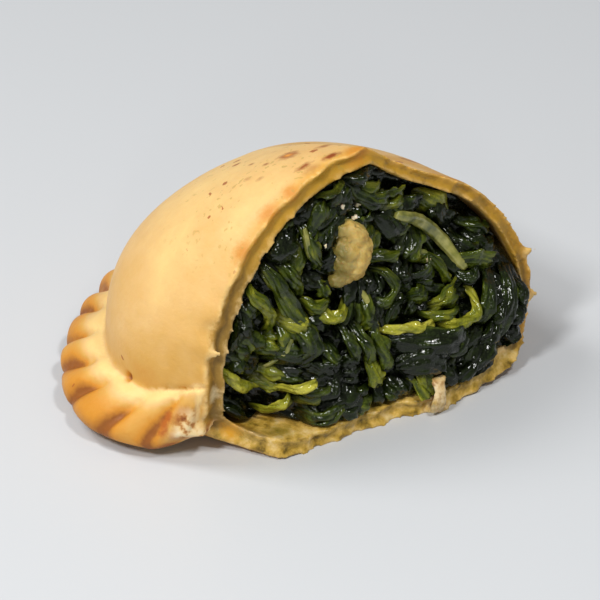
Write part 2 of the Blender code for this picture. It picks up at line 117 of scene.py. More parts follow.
def dough_section(depth, wall, count):
    """Outline of the dome across, as rows of y and z, at a depth behind the cut."""
    length, base = LENGTH - wall["end"], wall["base"]
    share = min(depth / length, 1.0)
    seam = TIP_Y - (TIP_Y - SEAM_Y - wall["seam"]) * seam_reach(depth, length)
    fold = TIP_Y + (FOLD_Y - wall["fold"] - TIP_Y) * fold_reach(share)
    middle = seam + MIDDLE * (fold - seam)
    ridge = (RIDGE_Z - wall["top"] - base) * (1 - share ** RIDGE_FALL[0]) ** RIDGE_FALL[1]
    top = base + max(ridge, LEAST_HEIGHT)
    side = min(base + (WALL_Z - base) * (1 - share ** 2) ** 0.5, base + WALL_SHARE * (top - base))
    deep = float(soft(depth / CUT_FORM))
    over_fold = [mix(a, b, deep) for a, b in zip(FOLD_AT_CUT, FOLD_ROUND)]
    over_seam = mix(SEAM_AT_CUT, SEAM_ROUND, deep)
    turn = np.arange(QUARTER_POINTS) / QUARTER_POINTS
    rows = []
    # Each quarter has the edge it reaches, its powers across and upwards, its rise, and
    # whether it runs back.
    for edge, across, height, rise, back in (
        (fold, *over_fold, top - side, False),
        (seam, over_seam, over_seam, top - side, True),
        (seam, BASE_SEAM, BASE_SEAM, base - side - BASE_PRESS, False),
        (fold, BASE_FOLD, BASE_FOLD, base - side - BASE_PRESS, True),
    ):
        angle = ((1 - turn) if back else turn) * math.pi / 2
        out = np.clip(np.cos(angle), 0, 1) ** (2 / across)
        up = np.clip(np.sin(angle), 0, 1) ** (2 / height)
        if edge == fold and not back:
            up = up - SAG * (1 - deep) * np.sin(2 * math.pi * out)
        z = np.maximum(side + rise * up, base)
        rows.append(np.stack([middle + (edge - middle) * out, z], 1))
    return evenly(np.concatenate(rows + [rows[0][:1]]), count, closed=True)


# The lip of the base and the longer tongue on it, the torn notch between lip and seam, how
# ragged the cut edge is, and a flake that broke off it: how far each reaches, and where.
LIP_REACH, TONGUE, TONGUE_Y, NOTCH, NOTCH_Y, RAGGED = 5.8, 2.0, 13.0, 4.0, -24.0, 0.7
NICK, NICK_AT, NICK_SIZE = 1.5, (-23.6, 21.5), 1.7


def lip_reach(y):
    """How far the base dough stands out in front of the cut, across the opening."""
    lip = LIP_REACH * soft((y + 20) / 6) * soft((36.5 - y) / 10)
    return lip + TONGUE * np.exp(-((y - TONGUE_Y) / 6) ** 2)


def cut_relief(yz):
    """How far the cut dough stands out of the cut's plane: lip, notch, uneven edge."""
    y, z = yz[:, 0], yz[:, 1]
    low = 1 - soft((z - 1.5) / 8)
    notch = NOTCH * np.exp(-((y - NOTCH_Y) / 4) ** 2)
    flat = np.column_stack([yz, np.zeros(len(yz))])
    return (lip_reach(y) - notch) * low + RAGGED * grain(flat, 3.5)


def crumb_relief(yz):
    """Crumbs along the cut, ragged in some stretches and nearly clean in others."""
    flat = np.column_stack([yz, np.full(len(yz), 7.0)])
    ragged = soft(0.45 + 1.3 * grain(flat, 6.5, 2.3))
    return (0.12 + 0.62 * ragged) * grain(flat, 1.9) + (0.05 + 0.40 * ragged) * grain(flat, 0.8)


def nick(yz):
    """Where a flake broke off the outer edge, on the seam side."""
    away = np.hypot(yz[:, 0] - NICK_AT[0], yz[:, 1] - NICK_AT[1])
    return -NICK * np.exp(-(away / NICK_SIZE) ** 2)


RELIEF_DEPTH = 24.0


def behind(front, depth):
    """How far out points lie at a depth behind the cut, where its relief dies away."""
    return front * max(0.0, 1 - depth / RELIEF_DEPTH) ** 2 - depth


# The shell is lofted from the tip along the outside, across the cut, and back inside.
# "marks" notes for every point: cut face, share of the way across it, and inside.
AROUND, OUTER_LOOPS, INNER_LOOPS = 300, 120, 30
CUT_SHARES = (0.0, 0.08, 0.22, 0.36, 0.5, 0.64, 0.78, 0.92, 1.0)
# How far the cut face is hollowed between its edges; how uneven the skin is, over what span.
HOLLOWED, UNEVEN, UNEVEN_SPAN = 0.8, 0.6, 17.0
loops, marks = [], []
for i in range(OUTER_LOOPS, 0, -1):
    depth = LENGTH * math.sin(math.pi / 2 * i / (OUTER_LOOPS + 0.5))
    yz = dough_section(depth, OUTSIDE, AROUND)
    x = behind(cut_relief(yz), depth) + nick(yz) * max(0.0, 1 - depth / 2)
    loops.append(np.column_stack([x, yz]))
    marks.append((0, 0, 0))
edge_out, edge_in = dough_section(0.0, OUTSIDE, AROUND), dough_section(0.0, INSIDE, AROUND)
for share in CUT_SHARES:
    yz = edge_out + (edge_in - edge_out) * share
    x = cut_relief(yz) + crumb_relief(yz) - HOLLOWED * math.sin(math.pi * share) ** 2
    x += nick(yz) * max(0.0, 1 - 3 * share)
    loops.append(np.column_stack([x, yz]))
    marks.append((1, share, 0))
for i in range(1, INNER_LOOPS):
    depth = (LENGTH - INSIDE["end"]) * math.sin(math.pi / 2 * i / INNER_LOOPS)
    yz = dough_section(depth, INSIDE, AROUND)
    loops.append(np.column_stack([behind(cut_relief(yz), depth), yz]))
    marks.append((0, 1, 1))

points = np.concatenate(loops)
marks = np.repeat(np.array(marks, float), AROUND, axis=0)
skin = (marks[:, 0] == 0) & (marks[:, 2] == 0) & (points[:, 0] < -1)
heart = np.repeat(np.array([loop.mean(0) for loop in loops]), AROUND, axis=0)
away = (points - heart) * (0, 1, 1)
away /= np.linalg.norm(away, axis=1)[:, None] + 1e-6
high = soft((points[:, 2] - 6) / 10)
points[skin] += (away * (UNEVEN * high * grain(points / UNEVEN_SPAN, 1.0))[:, None])[skin]


def closed_loft(loops):
    """Points and faces of a closed body through loops of equal counts, ends capped."""
    count, rows = len(loops[0]), len(loops)
    grid = np.arange(rows * count).reshape(rows, count)
    a, b = grid[:-1], np.roll(grid, -1, axis=1)[:-1]
    c, d = np.roll(grid, -1, axis=1)[1:], grid[1:]
    faces = np.stack([a, b, c, d], -1).reshape(-1, 4).tolist()
    points = np.concatenate(list(loops) + [loops[0].mean(0)[None], loops[-1].mean(0)[None]])
    first, last = rows * count, rows * count + 1
    faces += [[grid[0][(i + 1) % count], grid[0][i], first] for i in range(count)]
    faces += [[grid[-1][i], grid[-1][(i + 1) % count], last] for i in range(count)]
    return points, faces


shell = closed_loft([points[i:i + AROUND] for i in range(0, len(points), AROUND)])

# The pleated seam runs from its torn end beside the cut, round the tip.
PLEATS, PER_PLEAT, RIM_SIDES = 14, 18, 44
# Its width past the dome and how deep it is rooted there; z of its crease with the dome, of
# its edge and of its underside; how deep its grooves are, and its least thickness.
RIM_WIDTH, RIM_ROOT, CREASE_Z, EDGE_Z, FLOOR_Z = 6.9, 4.0, 8.7, 5.4, 1.0
GROOVE, THINNEST = 3.2, 0.8
# How far the edge draws in at a groove, and the shares of the width, past the dome, where
# the grooves begin and over which they reach their depth.
SCALLOP, GROOVE_FROM, GROOVE_OVER = 1.0, 0.12, 0.4
# How far a pleat leans over on its way out, and where the first one starts, in pleats.
LEAN, FIRST = 1.2, 0.15
# Past these shares of the seam it fades, and its tail sinks this far into the dome. It
# starts this far behind the cut, and runs this far round the tip, onto the folded side.
FADES, SINKS, TAIL_SUNK, RIM_START, PAST_TIP = 0.72, 0.9, 3.0, 0.3, 9.0
# By the cut it tore off: how much narrower it is there, how much its floor and its crease
# are raised and its edge is slanted, each with the pleats over which that wears off.
NARROWER, FLOOR_UP, CREASE_UP, SLANTED = (0.7, 2.45), (3.4, 1.05), (4.0, 1.63), (2.4, 1.17)


def seam_line(count):
    """Points in plan, evenly spaced, where the dome meets its seam."""
    steps = 400
    depths = [LENGTH * math.sin(math.pi / 2 * i / steps) for i in range(steps + 1)]
    line = [(-depth, TIP_Y - (TIP_Y - SEAM_Y) * seam_reach(depth, LENGTH)) for depth in depths]
    for depth in depths[-2:0:-1]:
        y = TIP_Y + (FOLD_Y - TIP_Y) * fold_reach(depth / LENGTH)
        if math.hypot(LENGTH - depth, y - TIP_Y) > PAST_TIP:
            break
        line.append((-depth, y))
    return evenly(np.array(line), count, start=RIM_START)


def by_the_cut(change, number):
    """What is left of a change, given as amount and pleats, this many pleats along."""
    amount, pleats = change
    return amount * (1 - soft(number / pleats))


path = seam_line(PLEATS * PER_PLEAT + 1)
turn = ring(RIM_SIDES)
reach = 0.5 - 0.5 * np.sign(np.cos(turn)) * np.abs(np.cos(turn)) ** 0.8
rim_loops, rim_marks = [], []
for index, ((px, py), (ax, ay)) in enumerate(zip(path, headings(path))):
    number = index / PER_PLEAT
    share = index / (len(path) - 1)
    floor = FLOOR_Z + by_the_cut(FLOOR_UP, number)
    crease = CREASE_Z + by_the_cut(CREASE_UP, number)
    tail = 1 - 0.9 * soft((share - FADES) / (1 - FADES))
    sunk = TAIL_SUNK * soft((share - SINKS) / (1 - SINKS))
    past_dome = np.maximum(0, (reach * (RIM_ROOT + RIM_WIDTH) - RIM_ROOT) / RIM_WIDTH)
    phase = (number + FIRST - LEAN * reach + 0.07 * math.sin(index * 0.23)) % 1
    crest = np.sin(math.pi * phase ** 0.8) ** 0.4
    flute = (1 - crest) * soft((past_dome - GROOVE_FROM) / GROOVE_OVER)
    width = (RIM_WIDTH - SCALLOP * (1 - crest)) * (1 - by_the_cut(NARROWER, number)) * tail
    radial = -RIM_ROOT - sunk + (RIM_ROOT + width) * reach
    outward = np.clip(radial / width, 0, 1)
    top = crease + (EDGE_Z - crease) * outward ** 1.5 - GROOVE * flute
    top = np.maximum(top, floor + THINNEST)
    lift = np.sign(np.sin(turn)) * np.abs(np.sin(turn)) ** 0.7
    z = (top + floor) / 2 + (top - floor) / 2 * lift
    z = floor + (z - floor) * (0.3 + 0.7 * tail)
    slant = by_the_cut(SLANTED, number) * outward
    rim_loops.append(np.stack([px - ay * radial + ax * slant, py + ax * radial + ay * slant, z], 1))
    end = (1 - soft((number - 0.15) / 0.35)) * (1 - soft((z - 8.2) / 1.6))
    rim_marks.append(np.stack([past_dome, flute, end], 1))
rim = closed_loft(rim_loops)
rim_marks = np.concatenate(rim_marks)

# Flakes of torn dough at the cut: width and thickness, the way across, whether it comes to
# a point, then the points along it. The last is a pale strip that stands on the lip.
FLAKE_STEPS, FLAKE_SIDES = 14, 14
FLAKES = [
    (2.8, 1.1, (0, 0, 1), True, [(-1.8, 31.4, 15.7), (-0.2, 33.2, 16.0), (0.6, 34.3, 16.4)]),
    (3.0, 1.3, (0, 0, 1), True, [(-1.6, 32.4, 8.0), (0.0, 34.0, 8.4), (0.8, 34.8, 8.8)]),
    (2.4, 0.9, (0, 0, 1), True, [(-1.6, -22.9, 18.0), (0.2, -22.7, 18.1), (1.6, -21.8, 18.4)]),
    (3.2, 1.0, (0, 1, 0), False,
     [(6.4, 12.0, 5.2), (7.6, 11.5, 4.9), (8.5, 11.1, 3.6), (8.6, 10.8, 2.0), (8.1, 10.6, 0.5)]),
]
flakes = []
for width, thick, wide, pointed, corners in FLAKES:
    corners, wide = np.array(corners), np.array(wide, float)
    steps = np.linspace(0, len(corners) - 1, FLAKE_STEPS)
    line = np.stack([np.interp(steps, np.arange(len(corners)), column) for column in corners.T], 1)
    turn = ring(FLAKE_SIDES)
    flake_loops = []
    for p, ahead, share in zip(line, headings(line), np.linspace(0, 1, len(line))):
        taper = 1.1 - share if pointed else 0.85 + 0.15 * math.sin(9 * share + 1)
        flake_loops.append(p + taper * (np.outer(np.cos(turn) * width / 2, wide)
                                        + np.outer(np.sin(turn) * thick / 2, np.cross(ahead, wide))))
    flakes.append(closed_loft(flake_loops))


def joined(parts):
    """Points and faces of several parts, each given as points and faces, as one."""
    faces, base = [], 0
    for part_points, part_faces in parts:
        faces += [[i + base for i in face] for face in part_faces]
        base += len(part_points)
    return np.concatenate([part_points for part_points, _ in parts]), faces


def plain_mesh(name, points, faces):
    mesh = bpy.data.meshes.new(name)
    mesh.from_pydata(np.asarray(points, float).tolist(), [], faces)
    bm = bmesh.new()
    bm.from_mesh(mesh)
    bmesh.ops.recalc_face_normals(bm, faces=bm.faces)
    bm.to_mesh(mesh)
    bm.free()
    return mesh


def as_piece(name, mesh):
    piece = bpy.data.objects.new(name, mesh)
    bpy.context.scene.collection.objects.link(piece)
    return piece


def fuse(piece, voxel, factor, rounds):
    """One skin over the piece's parts, by a voxel remesh that is then softened."""
    remesh = piece.modifiers.new("fuse", "REMESH")
    remesh.mode, remesh.voxel_size = "VOXEL", voxel
    ease = piece.modifiers.new("ease", "SMOOTH")
    ease.factor, ease.iterations = factor, rounds


def applied(piece):
    """The piece's mesh with its modifiers applied, which are then removed."""
    bpy.context.view_layer.update()
    result = bpy.data.meshes.new_from_object(
        piece.evaluated_get(bpy.context.evaluated_depsgraph_get()))
    piece.modifiers.clear()
    old, piece.data = piece.data, result
    bpy.data.meshes.remove(old)
    return result


def rows_of(mesh, what):
    """The places ("co") or the ways out ("normal") of a mesh's points, as rows."""
    values = np.empty(len(mesh.vertices) * 3)
    mesh.vertices.foreach_get(what, values)
    return values.reshape(-1, 3)


def set_mark(mesh, name, values):
    mark = mesh.attributes.new(name, "FLOAT", "POINT")
    mark.data.foreach_set("value", np.clip(values, 0, 1).astype(np.float32))


def settle(mesh):
    """Move a mesh from millimetres at the cut to its place in metres, shaded smooth."""
    mesh.transform(Matrix.Scale(0.001, 4) @ Matrix.Translation(CUT_AT))
    mesh.shade_smooth()


# Shell, seam and flakes are fused, evened out and given fewer faces.
VOXEL, FEWER = 0.42, 0.76
dough = as_piece("baked_dough", plain_mesh("baked_dough", *joined([shell, rim] + flakes)))
fuse(dough, VOXEL, 0.5, 2)
dough.modifiers.new("fewer", "DECIMATE").ratio = FEWER
mesh = applied(dough)

# Every point takes its marks from the nearest point of the shell, the seam or a flake:
# cut face, share across it, inside, past the dome on the seam, groove, torn end.
flake_points = np.concatenate([flake[0] for flake in flakes])
known = np.zeros((len(marks) + len(rim_marks) + len(flake_points), 6))
known[:len(marks), :3] = marks
known[len(marks):-len(flake_points), 3:] = rim_marks
known[-len(flake_points):, :2] = (1.0, 0.0)
nearest = kdtree.KDTree(len(known))
for i, p in enumerate(np.concatenate([points, np.concatenate(rim_loops), flake_points])):
    nearest.insert(p, i)
nearest.balance()
place = rows_of(mesh, "co")
cut, across, inside, seam, flute, torn_end = known[[nearest.find(p)[1] for p in place]].T

edges = np.empty(len(mesh.edges) * 2, int)
mesh.edges.foreach_get("vertices", edges)
edges = edges.reshape(-1, 2)


def spread(values, rounds):
    """Soften values over the mesh by averaging each point with its neighbours."""
    for _ in range(rounds):
        total, count = values.copy(), np.ones(len(values))
        np.add.at(total, edges[:, 0], values[edges[:, 1]])
        np.add.at(total, edges[:, 1], values[edges[:, 0]])
        np.add.at(count, edges.ravel(), 1)
        values = total / count
    return values


# A pinhole in the ledge, and the thin crease where the dome meets the seam by the cut.
PINHOLE, PINHOLE_SIZE, PINHOLE_DEPTH = (-13.9, -28.1, 9.0), 0.52, 1.1
CREASE = ((-6.6, -26.7, 10.4), (-3.8, -25.5, 11.4), (-0.5, -24.2, 12.7))
CREASE_SIZE, CREASE_DEPTH = 0.22, 0.5
pinhole = np.exp(-(np.linalg.norm(place - PINHOLE, axis=1) / PINHOLE_SIZE) ** 2)
creased = np.zeros(len(place))
for start, end in zip(np.array(CREASE), np.array(CREASE[1:])):
    share = np.clip((place - start) @ (end - start) / ((end - start) @ (end - start)), 0, 1)
    away = (place - (start + share[:, None] * (end - start))) * (0.5, 0.4, 1.0)
    creased = np.maximum(creased, np.exp(-(np.linalg.norm(away, axis=1) / CREASE_SIZE) ** 2))
sunk = PINHOLE_DEPTH * pinhole + CREASE_DEPTH * creased
place = place - rows_of(mesh, "normal") * sunk[:, None]
mesh.vertices.foreach_set("co", place.ravel())

# How brown the bake left each point. It is browner low down, towards the tip, out on the
# seam, on the folded side in patches, and along the peak's cut edge; the seam's root is pale.
# It also holds painted shade: darker on the dome by the cut, in the seam's grooves, and in the
# crease and the pinhole.
x, y, z = place.T
on_skin = cut + inside == 0
on_lip = soft((x + 5) / 3) * (1 - soft((z - 2.9) / 1.2)) * (cut + inside > 0)
seam, flute, torn_end = spread(seam, 3), spread(flute, 1), spread(torn_end, 2)
off_seam, by_cut = 1 - soft(seam / 0.1), soft((x + 17) / 12)
folded_side = soft((y - 2) / 13) * (1 - soft(seam / 0.15)) * on_skin
browning_and_shade = 0.12 + 0.30 * (1 - soft((z - 4) / 30)) + 0.14 * soft((-26 - x) / 12)
browning_and_shade += (0.02 - browning_and_shade) * soft(seam / 0.1) * (1 - 0.6 * soft((seam - 0.4) / 0.4))
browning_and_shade += 0.42 * soft((seam - 0.25) / 0.4) + 0.10 * (1 - soft((z - 1) / 3))
# Painted shade: the seam is darkened in its grooves, most of all along their bottoms.
browning_and_shade += 1.2 * flute ** 1.3 + 0.40 * soft((flute - 0.45) / 0.35)
# Painted shade: the dome is darker near the cut; the seam's root beside it is made paler.
browning_and_shade += (0.13 * off_seam - 0.16 * soft((seam - 0.1) / 0.2)) * by_cut
browning_and_shade += folded_side * (0.06 + 0.34 * soft(0.35 + 0.8 * grain(place, 7.0, 3.0)))
# Painted shade darkens the crease and the pinhole.
browning_and_shade += 0.55 * creased + 1.2 * pinhole
browning_and_shade += 0.36 * np.exp(-((x - 0.2) / 2.0) ** 2) * soft((z - 28) / 8) * on_skin
rolled = torn_end * (1 - torn_end) * 4 * soft((-0.6 - x) / 1.2) * soft(0.8 + grain(place, 1.5))
spice = np.maximum(soft((z - 24) / 12) * soft((x + 46) / 22),
                   0.8 * soft((y - 3) / 12) * soft((z - 10) / 10))
for name, values in (
    ("browning_and_shade", browning_and_shade), ("cut", spread(cut, 1)), ("across", spread(across, 2)),
    ("inside", spread(inside * (1 - on_lip), 1)), ("lip", spread(on_lip, 2)),
    ("torn", torn_end), ("rolled", rolled), ("spice", spice), ("folded", folded_side),
):
    set_mark(mesh, name, values)
settle(mesh)


def feed(node, inputs):
    """Set a node's inputs by name, or link those that are given another node's output."""
    for key, value in inputs.items():
        if isinstance(value, bpy.types.NodeSocket):
            node.id_data.links.new(value, node.inputs[key])
        else:
            node.inputs[key].default_value = value


def node_adder(tree):
    """A function that adds a node to a tree: its kind, its inputs, then its settings."""
    def add(kind, inputs=None, **settings):
        node = tree.nodes.new(kind)
        for key, value in settings.items():
            setattr(node, key, value)
        feed(node, inputs or {})
        return node
    return add


def new_material(name):
    """A material, its Principled shader, and a function that adds its nodes."""
    mat = bpy.data.materials.new(name)
    mat.use_nodes = True
    return mat, mat.node_tree.nodes["Principled BSDF"], node_adder(mat.node_tree)


def mark_on(add, name, output="Fac"):
    """A mark that was set on the mesh."""
    return add("ShaderNodeAttribute", attribute_name=name).outputs[output]


def noise_at(add, where, scale, detail=2.0, rough=0.5):
    return add("ShaderNodeTexNoise", {"Vector": where, "Scale": scale, "Detail": detail,
                                      "Roughness": rough}).outputs["Fac"]


def patchy(add, where, scale, level):
    """1 where coarse noise is over a level, 0 elsewhere."""
    return maths(add, "GREATER_THAN", noise_at(add, where, scale, 1.0), level)


def bubbles_at(add, where, scale):
    """Distance from the middle of the nearest of many scattered round cells."""
    return add("ShaderNodeTexVoronoi", {"Vector": where, "Scale": scale,
                                        "Randomness": 1.0}).outputs["Distance"]


def maths(add, operation, *values, clamp=False):
    node = add("ShaderNodeMath", dict(enumerate(values)), operation=operation, use_clamp=clamp)
    return node.outputs[0]


def overlap(add, first, *masks):
    """Where several masks lie over each other."""
    for mask in masks:
        first = maths(add, "MULTIPLY", first, mask)
    return first


def uneven(add, base, pattern, amount, middle=0.5, clamp=False):
    """A value made uneven by an amount of a pattern that lies about its middle."""
    return maths(add, "MULTIPLY_ADD", maths(add, "SUBTRACT", pattern, middle), amount, base,
                 clamp=clamp)


def ramp(add, factor, stops):
    node = add("ShaderNodeValToRGB", {"Fac": factor})
    while len(node.color_ramp.elements) < len(stops):
        node.color_ramp.elements.new(0.5)
    for element, (position, colour) in zip(node.color_ramp.elements, stops):
        element.position = position
        element.color = (*colour, 1)
    return node.outputs["Color"]


def blend(add, factor, a, b):
    """Colour a where the factor is 0, and colour b where it is 1."""
    a, b = (c if isinstance(c, bpy.types.NodeSocket) else (*c, 1) for c in (a, b))
    return add("ShaderNodeMix", {0: factor, 6: a, 7: b}, data_type="RGBA").outputs[2]


def tinted(add, colour, mask, amount, tint):
    """The colour, with an amount of a tint over it where the mask is."""
    return blend(add, maths(add, "MULTIPLY", mask, amount), colour, tint)


def placed_spot(add, where, centre, size, ragged):
    """1 in an uneven spot about a place in mm, 0 outside it; size is half its length each way."""
    at = tuple((a + b) / 1000 for a, b in zip(centre, CUT_AT))
    away = add("ShaderNodeVectorMath", {0: where, 1: at}, operation="SUBTRACT").outputs[0]
    by_size = tuple(1000 / side for side in size)
    scaled = add("ShaderNodeVectorMath", {0: away, 1: by_size}, operation="MULTIPLY").outputs[0]
    far = add("ShaderNodeVectorMath", {0: scaled}, operation="LENGTH").outputs["Value"]
    return maths(add, "SUBTRACT", 1.3, uneven(add, far, ragged, 1.6), clamp=True)


def spotted(add, where, colour, spots, amount, tint, ragged):
    """The colour, with a tint in placed spots, each given as its centre and its size."""
    for centre, size in spots:
        colour = tinted(add, colour, placed_spot(add, where, centre, size, ragged), amount, tint)
    return colour


crust_mat, shader, add = new_material("egg_washed_dough")
where = add("ShaderNodeTexCoord").outputs["Object"]
marked = {name: mark_on(add, name) for name in (
    "browning_and_shade", "cut", "across", "inside", "lip", "torn", "rolled", "spice", "folded")}
ragged = noise_at(add, where, 1100.0, 3.0, 0.6)

# The egg-washed skin, from pale to dark as it baked, with painted shade in it, and the crumb
# of the cut dough, with painted highlights on its pale edges and painted shade in its dark,
# hollowed middle.
mottle = noise_at(add, where, 420.0, 4.0, 0.6)
browned_and_shaded = uneven(add, marked["browning_and_shade"], noise_at(add, where, 70.0, 3.0), 0.55)
browned_and_shaded = uneven(add, browned_and_shaded, mottle, 0.20, clamp=True)
skin_colour = ramp(add, browned_and_shaded, [
    (0.0, (0.83, 0.575, 0.22)), (0.25, (0.70, 0.435, 0.16)), (0.48, (0.62, 0.34, 0.072)),
    (0.72, (0.59, 0.245, 0.022)), (1.0, (0.27, 0.085, 0.010))])
# Painted highlights make the band pale at both edges; painted shade darkens its middle.
band = uneven(add, marked["across"], noise_at(add, where, 520.0, 4.0, 0.65), 0.8, clamp=True)
crumb_with_painted_light = ramp(add, band, [
    (0.0, (0.76, 0.50, 0.18)), (0.2, (0.46, 0.24, 0.035)), (0.48, (0.19, 0.10, 0.012)),
    (0.76, (0.30, 0.17, 0.025)), (1.0, (0.66, 0.45, 0.19))])
crumb_with_painted_light = tinted(add, crumb_with_painted_light, marked["spice"], 0.55, (0.62, 0.33, 0.02))
colour = blend(add, marked["cut"], skin_colour, crumb_with_painted_light)
colour = blend(add, marked["inside"], colour, (0.16, 0.085, 0.015))

# The lip is soaked with juice: translucent yellow-brown, greener where leaves lie on it.
soaked = ramp(add, noise_at(add, where, 380.0, 5.0, 0.65), [
    (0.34, (0.11, 0.07, 0.008)), (0.44, (0.38, 0.235, 0.030)), (0.54, (0.60, 0.385, 0.08)),
    (0.66, (0.76, 0.56, 0.24))])
colour = tinted(add, colour, marked["lip"], 0.95, soaked)
AMBER = [((-1.2, -19.0, 3.4), (1.6, 1.5, 1.8))]
JUICY = [((2.2, -13.0, 2.6), (1.8, 2.4, 1.5)), ((4.0, 3.0, 2.4), (1.0, 3.0, 1.5))]
colour = spotted(add, where, colour, AMBER, 1.0, (0.62, 0.30, 0.02), ragged)
colour = spotted(add, where, colour, JUICY, 0.6, (0.14, 0.115, 0.012), ragged)

# At its torn end the seam shows a red-brown roll round a pale, flaky heart.
flaky = ramp(add, noise_at(add, where, 480.0, 3.0, 0.6), [
    (0.36, (0.20, 0.05, 0.008)), (0.45, (0.50, 0.23, 0.06)), (0.53, (0.78, 0.57, 0.28)),
    (0.8, (0.88, 0.76, 0.50))])
colour = blend(add, marked["torn"], colour, flaky)
colour = tinted(add, colour, marked["rolled"], 0.4, (0.34, 0.075, 0.012))
SCORCHED = [((-4.0, -27.9, 7.2), (0.8, 0.7, 0.9)), ((-4.2, -28.4, 6.2), (0.8, 0.8, 0.9)),
            ((-4.1, -28.9, 4.9), (0.8, 0.8, 0.9)), ((-4.0, -28.1, 2.7), (0.9, 1.4, 0.5))]
TUFT = [((-0.7, -22.5, 10.7), (1.3, 1.0, 1.3))]
colour = spotted(add, where, colour, SCORCHED, 0.8, (0.38, 0.085, 0.010), ragged)
colour = spotted(add, where, colour, TUFT, 0.8, (0.80, 0.62, 0.34), ragged)

# Small flecks gather near the peak, where the egg caught the heat.
specks = uneven(add, bubbles_at(add, where, 330.0), noise_at(add, where, 1300.0, 2.0), 0.35)
near_peak = maths(add, "MULTIPLY_ADD", marked["spice"], 0.45, noise_at(add, where, 90.0, 1.0))
flecks = overlap(add, maths(add, "LESS_THAN", specks, 0.20), patchy(add, where, 150.0, 0.56),
                 maths(add, "GREATER_THAN", near_peak, 0.68),
                 maths(add, "SUBTRACT", 1.0, marked["cut"]))
colour = tinted(add, colour, flecks, 0.85, (0.33, 0.085, 0.012))

# Blisters that browned near the peak: place, size, then how dark they are.
BLISTERS = [
    ((-9.7, -3.1, 39.5), (1.7, 1.4, 1.5), 1.0), ((-2.0, -1.0, 42.3), (0.9, 1.5, 1.5), 1.0),
    ((-3.5, -4.8, 41.1), (0.7, 1.4, 1.5), 0.9), ((-1.7, -4.6, 41.4), (1.0, 1.4, 1.5), 0.35),
    ((-14.9, -5.9, 36.5), (0.5, 0.5, 1.0), 0.7), ((-11.0, -6.1, 38.3), (0.6, 0.5, 1.0), 0.7),
    ((-10.4, -9.7, 37.4), (0.7, 0.6, 1.0), 0.4), ((-7.9, -9.1, 38.5), (0.5, 0.7, 1.0), 0.4),
    ((-6.9, 1.1, 40.9), (0.8, 1.2, 1.5), 0.7), ((-16.0, -1.5, 37.6), (0.8, 0.6, 1.0), 0.5),
    ((-13.0, 3.0, 39.0), (1.1, 0.8, 1.5), 0.6), ((-20.5, 4.0, 35.6), (0.8, 1.0, 1.5), 0.5),
]
for centre, size, dark in BLISTERS:
    colour = spotted(add, where, colour, [(centre, size)], dark, (0.26, 0.058, 0.007), ragged)

# The cut edge is toasted in patches, up to the peak.
TOASTED = [((-0.8, -12.7, 37.4), (1.6, 1.8, 2.0)), ((-0.6, -8.9, 39.4), (1.5, 1.3, 1.6)),
           ((-0.7, -17.5, 33.0), (1.4, 1.7, 2.2)), ((-0.9, 2.5, 42.0), (1.5, 2.2, 2.0)),
           ((0.4, -10.7, 37.0), (0.9, 0.9, 0.9)), ((0.3, -15.4, 34.0), (0.8, 0.8, 0.9))]
colour = spotted(add, where, colour, TOASTED, 0.85, (0.55, 0.21, 0.018),
                 noise_at(add, where, 850.0, 4.0, 0.7))

# The folded side baked nearer the heat: it has blisters of its own all over.
bubble = uneven(add, bubbles_at(add, where, 120.0), ragged, 0.30)
bubble = maths(add, "MULTIPLY", maths(add, "SUBTRACT", 0.26, bubble), 14.0, clamp=True)
bubble = overlap(add, bubble, patchy(add, where, 60.0, 0.5), marked["folded"])
colour = tinted(add, colour, bubble, 0.75, (0.36, 0.11, 0.014))
HEART_OF_ONE = [((-9.7, -3.1, 39.5), (0.8, 0.6, 1.0))]
colour = spotted(add, where, colour, HEART_OF_ONE, 1.0, (0.72, 0.30, 0.05), ragged)

# Fine darker grains dust the top. The strip that stands on the lip is pale and streaked.
dust = overlap(add, patchy(add, where, 1100.0, 0.66), marked["spice"],
               patchy(add, where, 210.0, 0.5))
colour = tinted(add, colour, dust, 0.45, (0.36, 0.24, 0.04))
strip = placed_spot(add, where, (7.9, 11.2, 2.9), (2.0, 2.3, 3.2), noise_at(add, where, 700.0, 2.0))
strip = overlap(add, strip, maths(add, "GREATER_THAN", strip, 0.15))
pale = ramp(add, noise_at(add, where, 900.0, 3.0, 0.6), [
    (0.35, (0.30, 0.15, 0.05)), (0.5, (0.66, 0.50, 0.27)), (0.7, (0.84, 0.72, 0.48))])
colour = blend(add, strip, colour, pale)

height = maths(add, "MULTIPLY_ADD", noise_at(add, where, 1500.0, 4.0, 0.6), 0.35, mottle)
bump = add("ShaderNodeBump", {"Height": height, "Strength": 0.35, "Distance": 0.0004})
feed(shader, {
    "Base Color": colour, "Normal": bump.outputs["Normal"], "Specular IOR Level": 0.35,
    "Roughness": maths(add, "SUBTRACT", 0.5, maths(add, "MULTIPLY", marked["lip"], 0.2)),
    "Subsurface Weight": 0.10, "Subsurface Radius": (1.0, 0.5, 0.25), "Subsurface Scale": 0.0015})
mesh.materials.clear()
mesh.materials.append(crust_mat)
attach(dough, "root")
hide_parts("crust")

# --- The spinach filling ----------------------------------------------------------------
# Whole wilted leaves, wrung out, chopped coarsely and packed into the dough while still wet.
# The knife left folds, rolled edges and torn sheets standing out of the face; the gaps
# between them go deeper, and painted shade darkens them.
CLEARANCE, ROOM_POINTS = 0.35, 240
ROOM_WALL = {side: wall + CLEARANCE for side, wall in INSIDE.items()}
ROOM = dough_section(0.0, ROOM_WALL, ROOM_POINTS)
HEART = np.array([3.0, 15.0])
room_angle = np.arctan2(ROOM[:, 1] - HEART[1], ROOM[:, 0] - HEART[0])
room_reach = np.hypot(ROOM[:, 0] - HEART[0], ROOM[:, 1] - HEART[1])
room_order = np.argsort(room_angle)


